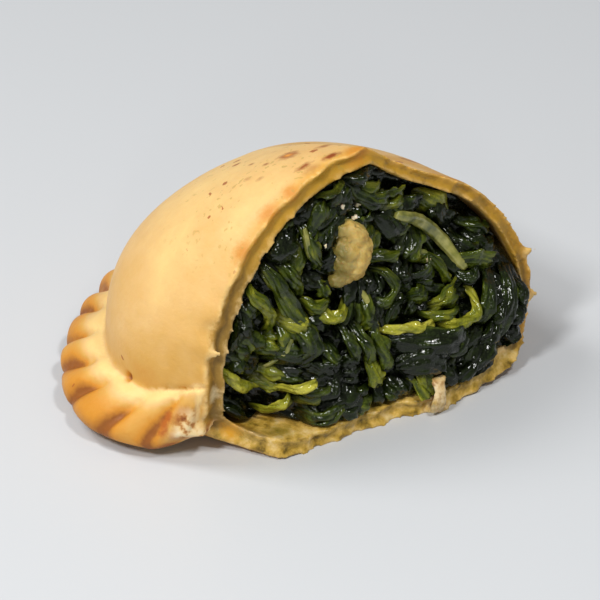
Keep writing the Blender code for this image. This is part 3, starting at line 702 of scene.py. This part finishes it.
def room_left(yz):
    """How far each point is from the dough, going outwards, and from the opening's heart."""
    ray = yz - HEART
    far = np.hypot(ray[:, 0], ray[:, 1])
    limit = np.interp(np.arctan2(ray[:, 1], ray[:, 0]), room_angle[room_order],
                      room_reach[room_order], period=2 * math.pi)
    return limit - far, far


def held_in(points):
    """The same points, with those outside the dough's opening drawn back into it."""
    left, far = room_left(points[:, 1:])
    points = points.copy()
    points[:, 1:] = HEART + (points[:, 1:] - HEART) * (np.minimum(far, far + left) / far)[:, None]
    return points


# How far the filling ends behind the lip's edge, and beside the seam, where it is sunk behind
# the cut at most; then how far it is sunk under the folded side, and how uneven it is.
SHORT, SEAM_SHORT, SEAM_SUNK, FOLD_SUNK, FACE_UNEVEN = 0.8, 9.0, 3.0, 3.0, 1.2


def filling_front(yz):
    """Front of the filling: it leans out over the lip, and is sunk under the folded side."""
    y, z = yz[:, 0], yz[:, 1]
    short = mix(SEAM_SHORT, SHORT, soft((y + 15) / 8))
    out = np.maximum(lip_reach(y) - short, -SEAM_SUNK) * soft((26 - z) / 20)
    sunk = FOLD_SUNK * soft((y - 4) / 16) * soft((z - 12) / 12)
    flat = np.column_stack([yz, np.full(len(yz), 5.0)])
    return out - sunk + FACE_UNEVEN * grain(flat, 6.0)


def crumpled(yz, seed):
    """Creases between packed leaves: sharp valleys and round crests, about 0 to 1."""
    flat = np.column_stack([yz, np.full(len(yz), seed)])
    bent = flat + 1.6 * np.stack([grain(flat, 5.0, 3.0), grain(flat, 5.0, 9.0), 0 * yz[:, 0]], 1)
    return np.abs(grain(bent, 3.2)) * 1.3 + 0.5 * np.abs(grain(bent, 1.4, 5.0))


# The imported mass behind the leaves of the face, in loops out from its heart, then back
# along the inside of the dough.
CORE_SUNK, CORE_CREASED, FACE_LOOPS, BACK_LOOPS, CORE_DEPTH = 2.4, 1.7, 46, 14, 49.0
core_loops = []
for share in np.linspace(0.02, 0.985, FACE_LOOPS):
    yz = HEART + (ROOM - HEART) * share
    x = filling_front(yz) - CORE_SUNK + CORE_CREASED * crumpled(yz, 1.0)
    core_loops.append(np.column_stack([x, yz]))
for i in range(BACK_LOOPS):
    depth = CORE_DEPTH * math.sin(math.pi / 2 * i / (BACK_LOOPS + 0.5))
    yz = dough_section(depth, ROOM_WALL, ROOM_POINTS)
    core_loops.append(np.column_stack([behind(filling_front(yz) - CORE_SUNK, depth), yz]))
core_points, core_faces = closed_loft(core_loops)

# How the leaves lie: at (y, z), the angle of their folds in degrees up from the +Y side.
LIE = [
    (-18, 23, -62), (-12, 25, -60), (-6, 21, -55), (-21, 12, -78), (-13, 10, -14), (-4, 7, 6),
    (-3, 37, 58), (4, 34, -20), (12, 29, -36), (18, 24, -52), (24, 23, -18), (29, 17, -82),
    (29, 10, 80), (20, 11, 8), (12, 12, 0), (5, 19, 68), (0, 14, 82), (4, 9, 104),
    (9, 5, 120), (16, 5, 12), (24, 7, 30), (9, 23, 60), (15, 18, -12), (-8, 30, 50),
]


def lie_at(y, z):
    """Which way folds run at a place, from the noted places about it."""
    turn = Vector((0.0, 0.0))
    for ly, lz, degrees in LIE:
        double = math.radians(2 * degrees)
        near = (1 + (y - ly) ** 2 + (z - lz) ** 2) ** 1.5
        turn += Vector((math.cos(double), math.sin(double))) / near
    return math.atan2(turn.y, turn.x) / 2


def arc(y, z, heading, length, bend, count):
    """Points (y, z) of a fold about its middle that turns evenly along its length."""
    turns = heading + bend * (np.linspace(0, 1, count) - 0.5)
    line = np.cumsum(np.stack([np.cos(turns), np.sin(turns)], 1), 0) * length / count
    return line - line[count // 2] + (y, z)


LEAF_THICKNESS = 0.25


def leaf(line, sheet, start, end, height, side, wrinkle, rng, across_count):
    """A leaf along a line of the face: it leaves the mass at angle start, bends over to end.

    Angles are from straight out, in degrees; sheet is how much leaf there is across.
    Returns the points, faces and marks (across, along, edge) of a thin closed sheet.
    """
    count = len(line)
    s = np.linspace(0, 1, count)[:, None]
    t = np.linspace(0, 1, across_count)[None, :]
    full = np.sin(math.pi * np.clip(s, 0.02, 0.98)) ** 0.55
    ahead = headings(line)
    wide = side * np.stack([-ahead[:, 1], ahead[:, 0]], 1)
    waver = 12 * np.sin(2 * math.pi * (s * rng.uniform(0.8, 2.0) + rng.random()))
    theta = np.radians(start + (end + waver - start) * soft(t * 1.08))
    step = sheet * (0.45 + 0.55 * full) / (across_count - 1)
    a, b = np.cumsum(np.sin(theta) * step, 1), np.cumsum(np.cos(theta) * step, 1)
    a, b = a - a[:, :1], b - b.max(1, keepdims=True)
    ridges = sheet / rng.uniform(1.0, 1.7)
    phase = 2 * math.pi * (ridges * t + 0.35 * np.sin(2 * math.pi * (s * 1.3 + rng.random())))
    ripple = wrinkle * np.sin(phase) * np.sin(math.pi * t) ** 0.5
    ruffle = 0.35 * t ** 3 * np.sin(2 * math.pi * (s * rng.uniform(1.5, 3.5) + rng.random()))
    a = a - ripple * np.cos(theta) + ruffle
    b = b + ripple * np.sin(theta) + ruffle + height * full - 2.0 * (1 - full)
    a = a - a.mean(1, keepdims=True) * 0.6
    yz = line[:, None, :] + wide[:, None, :] * a[:, :, None]
    base = filling_front(line)[:, None] + b
    grid = np.concatenate([base[:, :, None], yz], 2)
    flat = grid.reshape(-1, 3)
    warp = np.stack([grain(flat, 2.6, seed) for seed in (2.0, 6.0, 11.0)], 1)
    grid = grid + 0.45 * warp.reshape(grid.shape)
    crinkle = 0.30 * np.abs(grain(flat, 1.3, 8.0)) + 0.12 * grain(flat, 0.7, 3.0)
    grid[:, :, 0] -= crinkle.reshape(count, across_count)
    normal = np.cross(np.gradient(grid, axis=0), np.gradient(grid, axis=1))
    normal /= np.linalg.norm(normal, axis=2)[:, :, None] + 1e-9
    over, under = grid + normal * LEAF_THICKNESS / 2, grid - normal * LEAF_THICKNESS / 2
    number = np.arange(count * across_count).reshape(count, across_count)
    lower = number + number.size
    faces = []
    for here, flip in ((number, False), (lower, True)):
        quads = np.stack([here[:-1, :-1], here[1:, :-1], here[1:, 1:], here[:-1, 1:]], -1)
        faces += (quads[..., ::-1] if flip else quads).reshape(-1, 4).tolist()
    rim = np.concatenate([number[0, :], number[1:, -1], number[-1, -2::-1], number[-2:0:-1, 0]])
    low_rim = rim + number.size
    faces += np.stack([rim, np.roll(rim, -1), np.roll(low_rim, -1), low_rim], 1).tolist()
    points = held_in(np.concatenate([over.reshape(-1, 3), under.reshape(-1, 3)]))
    length = np.concatenate([[0], np.cumsum(np.linalg.norm(np.diff(line, axis=0), axis=1))])
    marks = np.stack([np.broadcast_to(row, (count, across_count))
                      for row in (t * sheet, length[:, None], t ** 4)], -1).reshape(-1, 3)
    return points, faces, np.concatenate([marks, marks])


# Which way, in y and z, a place seen from the camera slides as it comes out of the cut.
SEEN_SLIDE = (-0.78, 0.675)


def slid(corners, lift):
    """Places seen against the cut's plane, moved along the view onto the face itself."""
    seen, yz = np.array(corners, float), np.array(corners, float)
    for _ in range(30):
        x = filling_front(yz) + lift
        yz = (yz + seen + np.outer(x, SEEN_SLIDE)) / 2
    return yz


def smooth_line(corners, count, rounds):
    """A line of evenly spaced points past the corners, eased, with its ends kept."""
    line = evenly(corners, count)
    for _ in range(rounds):
        line[1:-1] = (line[:-2] + line[2:] + 2 * line[1:-1]) / 4
    return line


# Folds placed one by one, for they show most: shade from dark to yellow-green, sheet, start
# and end angle, height, side it falls to, then corner points (y, z) where it is seen.
FOLDS = [
    (0.74, 3.6, -10, 200, 1.9, 1,
     [(-21.1, 15.1), (-20.0, 12.3), (-17.0, 9.6), (-13.8, 8.2), (-11.4, 7.4)]),
    (0.84, 3.2, -10, 190, 1.8, 1, [(-12.0, 7.3), (-7.7, 6.4), (-4.4, 6.2), (-2.1, 5.1)]),
    (0.66, 2.8, 0, 170, 1.7, 1, [(-14.9, 5.1), (-12.7, 4.4), (-9.8, 4.5), (-6.9, 4.2)]),
    (0.88, 3.0, -10, 195, 1.9, 1,
     [(7.8, 10.4), (10.3, 9.9), (12.8, 9.9), (15.8, 9.0), (18.8, 8.1)]),
    (0.70, 3.2, -10, 190, 1.8, 1,
     [(18.0, 8.4), (21.3, 7.5), (23.9, 7.2), (25.6, 8.8), (25.2, 11.1), (23.7, 13.0)]),
    (0.50, 2.6, 0, 180, 1.5, -1, [(14.7, 11.2), (16.7, 10.7), (19.6, 10.1), (22.6, 9.8)]),
    (0.52, 3.4, 0, 180, 1.7, -1,
     [(-16.3, 27.1), (-14.1, 24.4), (-12.2, 21.4), (-11.1, 18.3), (-12.3, 16.4)]),
    (0.36, 4.4, 0, 165, 1.8, -1,
     [(-12.0, 28.2), (-10.1, 24.8), (-8.1, 21.0), (-5.8, 17.1), (-2.5, 15.1)]),
    (0.34, 3.6, 0, 165, 1.6, -1, [(-9.6, 28.0), (-7.4, 24.2), (-5.4, 20.6)]),
    (0.66, 3.4, 0, 175, 1.7, 1, [(-4.5, 18.5), (-2.1, 15.9), (0.4, 15.5), (2.5, 17.1)]),
    (0.52, 3.0, 0, 175, 1.5, 1, [(-6.4, 20.4), (-3.6, 18.6), (-1.0, 18.8)]),
    (0.44, 3.2, 0, 170, 1.6, 1, [(-6.0, 32.9), (-5.7, 29.7), (-4.3, 26.2), (-2.3, 23.3)]),
    (0.30, 3.0, 0, 160, 1.6, 1, [(1.0, 14.6), (1.7, 11.8), (2.6, 9.2), (3.9, 6.3)]),
    (0.34, 3.0, 0, 160, 1.7, 1, [(3.2, 13.8), (4.0, 11.4), (5.2, 8.6), (6.4, 5.0)]),
    (0.40, 3.4, 0, 160, 1.7, 1, [(5.6, 12.6), (6.9, 9.8), (8.2, 7.0), (8.9, 3.2)]),
    (0.24, 4.0, 0, 150, 1.4, -1, [(-1.6, 12.6), (-0.6, 9.8), (0.6, 6.8)]),
    # The next two, low on the right, are made near-black as painted shade.
    (0.03, 7.5, 20, 120, 0.9, 1, [(9.4, 6.6), (15.7, 5.0), (20.8, 3.1), (25.2, 2.3)]),
    (0.05, 6.0, 20, 120, 0.8, 1, [(10.8, 3.0), (15.4, 2.2), (20.0, 0.6)]),
    (0.17, 5.0, 10, 140, 1.0, -1, [(31.3, 13.4), (31.2, 8.4), (30.2, 4.4), (28.2, 1.4)]),
    (0.20, 4.2, 0, 140, 1.0, -1, [(27.6, 15.1), (27.4, 9.1), (26.5, 5.0)]),
    (0.30, 2.8, 0, 170, 1.5, 1,
     [(5.5, 21.8), (8.4, 20.0), (10.0, 17.1), (8.3, 15.3), (5.8, 17.0)]),
    (0.34, 2.8, 0, 170, 1.4, 1, [(3.6, 24.0), (7.6, 23.4), (11.4, 21.6)]),
    (0.36, 2.8, 0, 170, 1.4, 1, [(13.4, 20.5), (15.9, 20.4), (17.6, 18.2), (20.1, 14.1)]),
    (0.10, 6.0, 10, 130, 1.0, 1, [(5.6, 30.6), (8.2, 27.4), (10.0, 23.8)]),
    (0.22, 4.6, 0, 140, 1.2, 1, [(1.2, 37.2), (3.6, 33.7), (6.9, 31.8), (9.8, 31.5)]),
    (0.30, 3.2, 0, 150, 1.2, 1, [(-4.2, 37.0), (-1.2, 37.3), (1.3, 38.3)]),
    (0.16, 5.4, 0, 140, 1.2, 1, [(-13.4, 12.6), (-9.4, 12.2), (-4.7, 10.4)]),
    (0.12, 6.0, 0, 140, 1.1, 1, [(-20.6, 21.4), (-19.8, 18.4), (-18.0, 15.6)]),
    (0.28, 3.4, 0, 160, 1.2, 1, [(20.6, 24.6), (24.0, 22.6), (27.6, 20.6)]),
]
FOLD_POINTS, FOLD_ROUNDS, FOLD_WRINKLE, FOLD_ACROSS = 60, 60, 0.2, 19
rng = random.Random(23)
leaves, taken = [], []
for shade, sheet, start, end, height, side, corners in FOLDS:
    line = smooth_line(slid(corners, height), FOLD_POINTS, FOLD_ROUNDS)
    leaves.append((*leaf(line[::2], sheet, start, end, height, side, FOLD_WRINKLE, rng,
                         FOLD_ACROSS), shade))
    taken += [tuple(p) for p in line[::12]]

# Bunches of one to three leaves fill the rest of the face: how many, the most tries for
# them, how far apart they are at least, and the points along and across a leaf.
BUNCHES, TRIES, LEAST_APART, BUNCH_ALONG, BUNCH_ACROSS = 150, 12000, 2.0, 15, 14
bunches = tries = 0
while bunches < BUNCHES and tries < TRIES:
    tries += 1
    y, z = rng.uniform(-24, 33), rng.uniform(2, 41)
    left = room_left(np.array([[y, z]]))[0][0]
    if left < 1.0 or (y > 5 and z > 20 and left < 3.2):
        continue
    if min(math.dist((y, z), p) for p in taken) < LEAST_APART:
        continue
    bunches += 1
    taken.append((y, z))
    heading = lie_at(y, z) + rng.uniform(-0.45, 0.45)
    length, bend, side = rng.uniform(3.5, 8.5), rng.uniform(-1.6, 1.6), rng.choice((-1, 1))
    tone = rng.random() ** 2.6 * 0.60
    across = np.array([-math.sin(heading), math.cos(heading)])
    members = rng.choice((1, 1, 2, 2, 3))
    for member in range(members):
        shift = across * (member - (members - 1) / 2) * rng.uniform(0.9, 1.4)
        line = arc(y + shift[0], z + shift[1], heading + rng.uniform(-0.25, 0.25), length, bend,
                   BUNCH_ALONG)
        sheet = rng.uniform(2.2, 4.2) if members > 1 else rng.uniform(3.2, 6.5)
        made = leaf(line, sheet, rng.uniform(-10, 30), rng.uniform(90, 210),
                    rng.uniform(-0.6, 1.4), side, rng.uniform(0.14, 0.34), rng, BUNCH_ACROSS)
        leaves.append((*made, min(1.0, tone + rng.uniform(-0.06, 0.1))))


def spinach_piece(name, parts):
    """One piece of (points, faces, marks, shade) parts, with the marks its material reads."""
    points, faces = joined([part[:2] for part in parts])
    marks = np.concatenate([part[2] for part in parts])
    shade = np.concatenate([np.full(len(part[0]), part[3]) for part in parts])
    piece = as_piece(name, plain_mesh(name, points, faces))
    mesh = piece.data
    set_mark(mesh, "shade", shade)
    # Nearness to a leaf's free edge; the material lightens it there as a painted highlight.
    set_mark(mesh, "edge", marks[:, 2])
    # How far a point lies sunk behind the face; the material darkens it by that as painted shade.
    proud = points[:, 0] - filling_front(points[:, 1:])
    set_mark(mesh, "sunk", 1 - soft((proud + 1.2) / 1.7))
    veins = np.column_stack([marks[:, :2], shade * 40]).astype(np.float32)
    mesh.attributes.new("veins", "FLOAT_VECTOR", "POINT").data.foreach_set("vector", veins.ravel())
    settle(mesh)
    return piece


third = len(leaves) // 3
# The mass behind the leaves takes the darkest tone, painted shade for the depth between them.
core = (core_points, core_faces, np.zeros((len(core_points), 3)), 0.02)
mass = spinach_piece("packed_spinach", [core] + leaves[third:2 * third])
folds = spinach_piece("spinach_folds", leaves[:third])
bits = spinach_piece("spinach_bits", leaves[2 * third:])

# Dark green to yellow-green, with streaks along the veins that are partly painted sheen,
# under a film of juice. Painted highlights lighten the leaves' free edges, and painted shade
# darkens what lies sunk behind the face.
leaf_mat, shader, add = new_material("wet_cooked_leaf")
where = add("ShaderNodeTexCoord").outputs["Object"]
stretched = add("ShaderNodeMapping", {"Vector": mark_on(add, "veins", "Vector"),
                                      "Scale": (1.6, 0.25, 1.0)}).outputs["Vector"]
vein_and_sheen_streaks = noise_at(add, stretched, 1.0, 4.0, 0.6)
blotches = noise_at(add, where, 260.0, 3.0, 0.55)
tone = uneven(add, mark_on(add, "shade"), blotches, 0.6, middle=0.53)
# The vein streaks lighten the tone: partly the leaves' own veins, partly painted sheen.
tone = uneven(add, tone, vein_and_sheen_streaks, 0.95, middle=0.52)
# Painted highlight: leaves are lighter towards their free edges.
tone = maths(add, "MULTIPLY_ADD", mark_on(add, "edge"), 0.16, tone, clamp=True)
leaf_colour = ramp(add, tone, [
    (0.0, (0.002, 0.0035, 0.0005)), (0.2, (0.008, 0.015, 0.001)), (0.42, (0.056, 0.076, 0.004)),
    (0.7, (0.24, 0.24, 0.016)), (1.0, (0.54, 0.49, 0.06))])
# Painted shade: what lies sunk behind the face is darkened nearly to black.
leaf_colour = tinted(add, leaf_colour, mark_on(add, "sunk"), 0.95, (0.0015, 0.002, 0.0008))
puckers = maths(add, "ABSOLUTE",
                maths(add, "SUBTRACT", noise_at(add, where, 620.0, 3.0, 0.6), 0.5))
height = maths(add, "MULTIPLY_ADD", puckers, -2.2, maths(add, "MULTIPLY", vein_and_sheen_streaks, 0.6))
bump = add("ShaderNodeBump", {"Height": height, "Strength": 1.0, "Distance": 0.0004})
film = add("ShaderNodeBump", {"Height": height, "Strength": 1.0, "Distance": 0.00007})
feed(shader, {
    "Base Color": leaf_colour, "Roughness": 0.4, "Specular IOR Level": 0.12,
    "Specular Tint": (0.75, 1.0, 0.4, 1), "Normal": bump.outputs["Normal"],
    "Coat Weight": 1.0, "Coat IOR": 1.36, "Coat Roughness": 0.04,
    "Coat Normal": film.outputs["Normal"]})
for piece in (mass, folds, bits):
    piece.data.materials.append(leaf_mat)
    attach(piece, "root")
    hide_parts("spinach_filling")

# --- The leaf stalks -------------------------------------------------------------------
# Chopped stalks of the same leaves: paler, firmer, grooved along their length. Each is given
# as its width, how far it stands out, and the points (y, z) where it is seen.
STALKS = [
    (2.0, 1.5, [(9.8, 29.6), (12.7, 28.4), (16.0, 25.0), (19.3, 20.7), (22.3, 16.5)]),
    (1.1, 0.8, [(12.8, 22.8), (14.2, 22.0), (15.2, 20.2)]),
    (0.9, 0.8, [(-6.6, 33.0), (-6.4, 30.2), (-5.6, 27.8)]),
    (1.0, 0.8, [(-13.8, 12.4), (-10.6, 13.4), (-8.6, 15.4)]),
    (0.9, 0.7, [(2.6, 20.6), (4.0, 18.0), (4.6, 15.8)]),
]
STALK_POINTS, STALK_ROUNDS, STALK_SIDES, STALK_FLAT, GROOVES = 44, 20, 22, 0.7, 5
stalk_parts = []
for width, out, corners in STALKS:
    line = smooth_line(slid(corners, out), STALK_POINTS, STALK_ROUNDS)
    turn = ring(STALK_SIDES)
    stalk_loops = []
    for (y, z), (ay, az), x, share in zip(line, headings(line), filling_front(line),
                                          np.linspace(0, 1, len(line))):
        taper = 0.55 + 0.45 * math.sin(math.pi * share) ** 0.5
        radius = width / 2 * taper * (1 + 0.10 * np.cos(GROOVES * turn + 2 * share))
        a, b = radius * np.cos(turn), radius * STALK_FLAT * np.sin(turn)
        rise = out * math.sin(math.pi * min(max(share, 0.03), 0.97)) ** 0.5
        loop = np.stack([x + rise + b, y - az * a, z + ay * a], 1)
        stalk_loops.append(loop + 0.15 * np.stack([grain(loop, 1.5, k) for k in (1, 4, 8)], 1))
    stalk_parts.append(closed_loft(stalk_loops))
stalk_points, stalk_faces = joined(stalk_parts)
stalks = as_piece("leaf_stalks", plain_mesh("leaf_stalks", held_in(stalk_points), stalk_faces))
settle(stalks.data)

stalk_mat, shader, add = new_material("wet_leaf_stalk")
where = add("ShaderNodeTexCoord").outputs["Object"]
colour = ramp(add, noise_at(add, where, 500.0, 3.0, 0.6), [
    (0.3, (0.06, 0.075, 0.012)), (0.5, (0.20, 0.20, 0.035)), (0.75, (0.42, 0.38, 0.11))])
feed(shader, {"Base Color": colour, "Roughness": 0.35, "Coat Weight": 0.5,
              "Coat Roughness": 0.12})
stalks.data.materials.append(stalk_mat)
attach(stalks, "root")

# --- The lump of cheese ----------------------------------------------------------------
# A crumb of fresh white cheese, tinted by the juice, its side bitten hollow where a leaf
# was pressed into it. It crumbles rather than melts, so its surface is grainy.

# Rough balls along a crescent, (y, z, radius), fused into one lump.
CRESCENT = [
    (-1.0, 31.6, 1.2), (0.0, 30.9, 1.8), (0.9, 29.7, 2.2), (1.3, 28.2, 2.4), (1.1, 26.7, 2.4),
    (0.2, 25.3, 2.2), (-0.9, 24.2, 1.7), (-0.6, 28.4, 2.2), (-1.0, 26.4, 2.1), (-2.2, 23.6, 1.2),
]
CHEESE_Z, CHEESE_PROUD, CHEESE_VOXEL = 27.6, 0.9, 0.18
face_x = float(filling_front(np.array([[0.0, CHEESE_Z]]))[0])
rng = random.Random(5)
ball = bmesh.new()
bmesh.ops.create_icosphere(ball, subdivisions=3, radius=1.0)
ball_points = np.array([v.co[:] for v in ball.verts])
ball_faces = [[v.index for v in face.verts] for face in ball.faces]
ball.free()
balls = []
for number, (y, z, radius) in enumerate(CRESCENT):
    lumpy = ball_points * (radius * (1 + 0.14 * grain(ball_points, 0.9, 3.0 * number)))[:, None]
    lumpy = lumpy * (1.15, 0.9, 1.0) + (face_x + CHEESE_PROUD + rng.uniform(-0.2, 0.2), y, z)
    balls.append((lumpy, ball_faces))
cheese = as_piece("white_cheese", plain_mesh("white_cheese", *joined(balls)))
fuse(cheese, CHEESE_VOXEL, 0.6, 8)
mesh = applied(cheese)
place = rows_of(mesh, "co")
pits = 0.16 * grain(place, 0.8) + 0.10 * grain(place, 0.4)
pits -= 0.25 * soft((grain(place, 1.3, 4.0) - 0.3) / 0.2)
place = place + rows_of(mesh, "normal") * pits[:, None]
mesh.vertices.foreach_set("co", place.ravel())
settle(mesh)

# Ivory, stained by the juice, with painted shade darkening it to olive down the side towards the
# seam.
cheese_mat, shader, add = new_material("fresh_white_cheese")
where = add("ShaderNodeTexCoord").outputs["Object"]
grainy = noise_at(add, where, 700.0, 4.0, 0.6)
colour = ramp(add, grainy, [
    (0.3, (0.36, 0.22, 0.04)), (0.5, (0.54, 0.36, 0.085)), (0.72, (0.66, 0.49, 0.16))])
stained = maths(add, "GREATER_THAN", noise_at(add, where, 180.0, 2.0), 0.58)
colour = tinted(add, colour, stained, 0.45, (0.26, 0.24, 0.06))
# Painted shade down the lump's side towards the seam, ragged with its grain.
side = add("ShaderNodeSeparateXYZ", {"Vector": where}).outputs["Y"]
side = maths(add, "MULTIPLY_ADD", side, -520.0,
             maths(add, "MULTIPLY_ADD", grainy, 1.2, -0.75), clamp=True)
colour = tinted(add, colour, side, 0.8, (0.13, 0.11, 0.018))
bump = add("ShaderNodeBump", {"Height": grainy, "Strength": 0.7, "Distance": 0.0003})
feed(shader, {"Base Color": colour, "Normal": bump.outputs["Normal"], "Roughness": 0.5,
              "Subsurface Weight": 0.15, "Subsurface Scale": 0.001})
mesh.materials.clear()
mesh.materials.append(cheese_mat)
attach(cheese, "root")
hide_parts("cheese_lump")

# --- Crumbs of cheese ------------------------------------------------------------------
# Bits that broke off the cheese as the leaves were folded over it. They lie on the wet face,
# thickest round the lump and where the photographed face shows them pale.

# Where they gather: (y, z) as seen, how far they spread in mm, and how thickly they lie.
CRUMB_SPOTS = [(0.0, CHEESE_Z, 4.6, 0.35), (19.8, 24.5, 1.3, 0.9), (4.5, 33.4, 1.3, 0.9),
               (24.6, 20.0, 1.5, 0.7), (15.9, 20.4, 1.2, 0.7), (-8.5, 36.2, 1.3, 0.8),
               (30.0, 17.1, 1.4, 0.6), (24.0, 15.5, 1.6, 0.5)]
STRAY_CRUMBS = 0.004
host_mesh = mass.data.copy()
x, y, z = (rows_of(host_mesh, "co") * 1000 - np.array(CUT_AT)).T
gather = np.full(len(x), STRAY_CRUMBS)
for cy, cz, span, weight in CRUMB_SPOTS:
    (sy, sz), = slid([(cy, cz)], 1.0)
    gather += weight * np.exp(-((y - sy) ** 2 + (z - sz) ** 2) / span ** 2)
gather *= soft((x - filling_front(np.stack([y, z], 1)) + 0.2) / 0.8)
set_mark(host_mesh, "gather", gather)
crumbs = as_piece("cheese_crumbs", host_mesh)

seed_mesh = bpy.data.meshes.new("one_crumb")
ball = bmesh.new()
bmesh.ops.create_icosphere(ball, subdivisions=2, radius=0.5)
for v in ball.verts:
    v.co *= 1 + 1.1 * noise.noise(v.co * 2.4)
ball.to_mesh(seed_mesh)
ball.free()
one_crumb = as_piece("one_crumb", seed_mesh)

crumb_mat, shader, add = new_material("pale_crumb")
where = add("ShaderNodeTexCoord").outputs["Object"]
colour = ramp(add, noise_at(add, where, 900.0, 3.0, 0.6), [
    (0.3, (0.40, 0.30, 0.13)), (0.5, (0.70, 0.58, 0.36)), (0.75, (0.86, 0.78, 0.60))])
feed(shader, {"Base Color": colour, "Roughness": 0.35, "Subsurface Weight": 0.15,
              "Subsurface Scale": 0.0006})

# One crumb is scattered over the face, each copy with its own size and turn.
scatter = bpy.data.node_groups.new("scatter_crumbs", "GeometryNodeTree")
for name, kind in (("Geometry", "Geometry"), ("Crumb", "Object"), ("Density", "Float"),
                   ("Smallest", "Float"), ("Largest", "Float"), ("Finish", "Material")):
    scatter.interface.new_socket(name, in_out="INPUT", socket_type="NodeSocket" + kind)
scatter.interface.new_socket("Geometry", in_out="OUTPUT", socket_type="NodeSocketGeometry")
geo = node_adder(scatter)
given = geo("NodeGroupInput").outputs
where_thick = geo("GeometryNodeInputNamedAttribute", {"Name": "gather"}, data_type="FLOAT")
spots = geo("GeometryNodeDistributePointsOnFaces", {
    "Mesh": given["Geometry"], "Density Max": given["Density"], "Distance Min": 0.0003,
    "Density Factor": where_thick.outputs["Attribute"], "Seed": 4}, distribute_method="POISSON")
turned = geo("FunctionNodeRandomValue", {"Min": (0, 0, 0), "Max": (6.3, 6.3, 6.3), "Seed": 1},
             data_type="FLOAT_VECTOR")
sized = geo("FunctionNodeRandomValue", {"Seed": 2}, data_type="FLOAT")
for limit, source in (("Min", "Smallest"), ("Max", "Largest")):
    target = next(i for i in sized.inputs if i.name == limit and i.type == "VALUE" and i.enabled)
    scatter.links.new(given[source], target)
one = geo("GeometryNodeObjectInfo", {"Object": given["Crumb"]})
laid = geo("GeometryNodeInstanceOnPoints", {
    "Points": spots.outputs["Points"], "Instance": one.outputs["Geometry"],
    "Rotation": next(o for o in turned.outputs if o.enabled),
    "Scale": next(o for o in sized.outputs if o.enabled)})
real = geo("GeometryNodeRealizeInstances", {"Geometry": laid.outputs["Instances"]})
done = geo("GeometryNodeSetMaterial", {"Geometry": real.outputs["Geometry"],
                                       "Material": given["Finish"]})
geo("NodeGroupOutput", {"Geometry": done.outputs["Geometry"]})

step = crumbs.modifiers.new("scatter", "NODES")
step.node_group = scatter
for name, value in (("Crumb", one_crumb), ("Density", 3.2e5), ("Smallest", 0.0004),
                    ("Largest", 0.0013), ("Finish", crumb_mat)):
    step[next(i.identifier for i in scatter.interface.items_tree
              if i.in_out == "INPUT" and i.name == name)] = value
applied(crumbs).shade_smooth()
bpy.data.objects.remove(one_crumb, do_unlink=True)
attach(crumbs, "root")

# --- Table, light and camera -------------------------------------------------------------
# A plain pale table top, only there for the food to lie on, soft light from the left, and
# the photograph's point of view.
TABLE_HALF = 3
table_corners = [(x, y, 0) for x, y in ((-1, -1), (1, -1), (1, 1), (-1, 1))]
table_mesh = plain_mesh("table_top", TABLE_HALF * np.array(table_corners), [(0, 1, 2, 3)])
table = as_piece("table_top", table_mesh)
table_mat, shader, add = new_material("pale_table")
feed(shader, {"Base Color": (0.56, 0.575, 0.59, 1), "Roughness": 0.5})
table.data.materials.append(table_mat)

world = bpy.data.worlds.new("studio")
bpy.context.scene.world = world
world.use_nodes = True
feed(world.node_tree.nodes["Background"], {"Color": (1, 1, 1, 1), "Strength": 0.20})

# The eye stands where the photograph was taken from. There, a point of the food lay off the
# middle of the picture; here the camera is turned to the food and looks closer.
AZIMUTH, ELEVATION, DISTANCE = math.radians(52), math.radians(28), 0.8
PICTURE, PER_METRE, SENSOR = 600, 3140.0, 36
FOOT, FOOT_AT = Vector((0, 34, 3)), (293, 440)
MIDDLE_AT, CLOSER = (185, 431), 2.15


def towards(bearing, height):
    """The way to something at a bearing, from +X towards +Y, and a height, as angles."""
    return Vector((math.cos(bearing) * math.cos(height), math.sin(bearing) * math.cos(height),
                   math.sin(height)))


back = towards(AZIMUTH - math.pi / 2, ELEVATION)
right = Vector((math.cos(AZIMUTH), math.sin(AZIMUTH), 0))
up = back.cross(right)


def off_middle(at):
    """How far a point of the photograph lies from its middle, in its pixels."""
    return right * (at[0] - PICTURE / 2) + up * (PICTURE / 2 - at[1])


eye = (CUT_AT + FOOT) * 0.001 + back * DISTANCE - off_middle(FOOT_AT) / PER_METRE
aim = off_middle(MIDDLE_AT) / (PER_METRE * DISTANCE) - back
camera = bpy.data.objects.new("camera", bpy.data.cameras.new("camera"))
bpy.context.scene.collection.objects.link(camera)
camera.data.sensor_width = SENSOR
camera.data.lens = SENSOR * PER_METRE * DISTANCE / PICTURE * CLOSER
camera.data.clip_start = 0.01
camera.matrix_world = Matrix.Translation(eye) @ aim.to_track_quat("-Z", "Y").to_matrix().to_4x4()
bpy.context.scene.camera = camera

LAMP_AWAY = 0.7


def soft_box(name, bearing, height, size, power):
    """A square lamp aimed at the food; bearing is degrees round from the camera's side."""
    spot = towards(AZIMUTH - math.pi / 2 + math.radians(bearing), math.radians(height))
    lamp = bpy.data.objects.new(name, bpy.data.lights.new(name, "AREA"))
    bpy.context.scene.collection.objects.link(lamp)
    lamp.data.shape, lamp.data.size, lamp.data.energy = "SQUARE", size, power
    turned = spot.to_track_quat("Z", "Y").to_matrix().to_4x4()
    lamp.matrix_world = Matrix.Translation(spot * LAMP_AWAY) @ turned


soft_box("key_light", -98, 56, 0.26, 2.3)
soft_box("glint_light", -30, 46, 0.12, 2.7)
soft_box("far_glint", 40, 60, 0.09, 1.8)
soft_box("low_glint", 5, 24, 0.05, 0.3)
bpy.context.scene.view_settings.view_transform = "Standard"
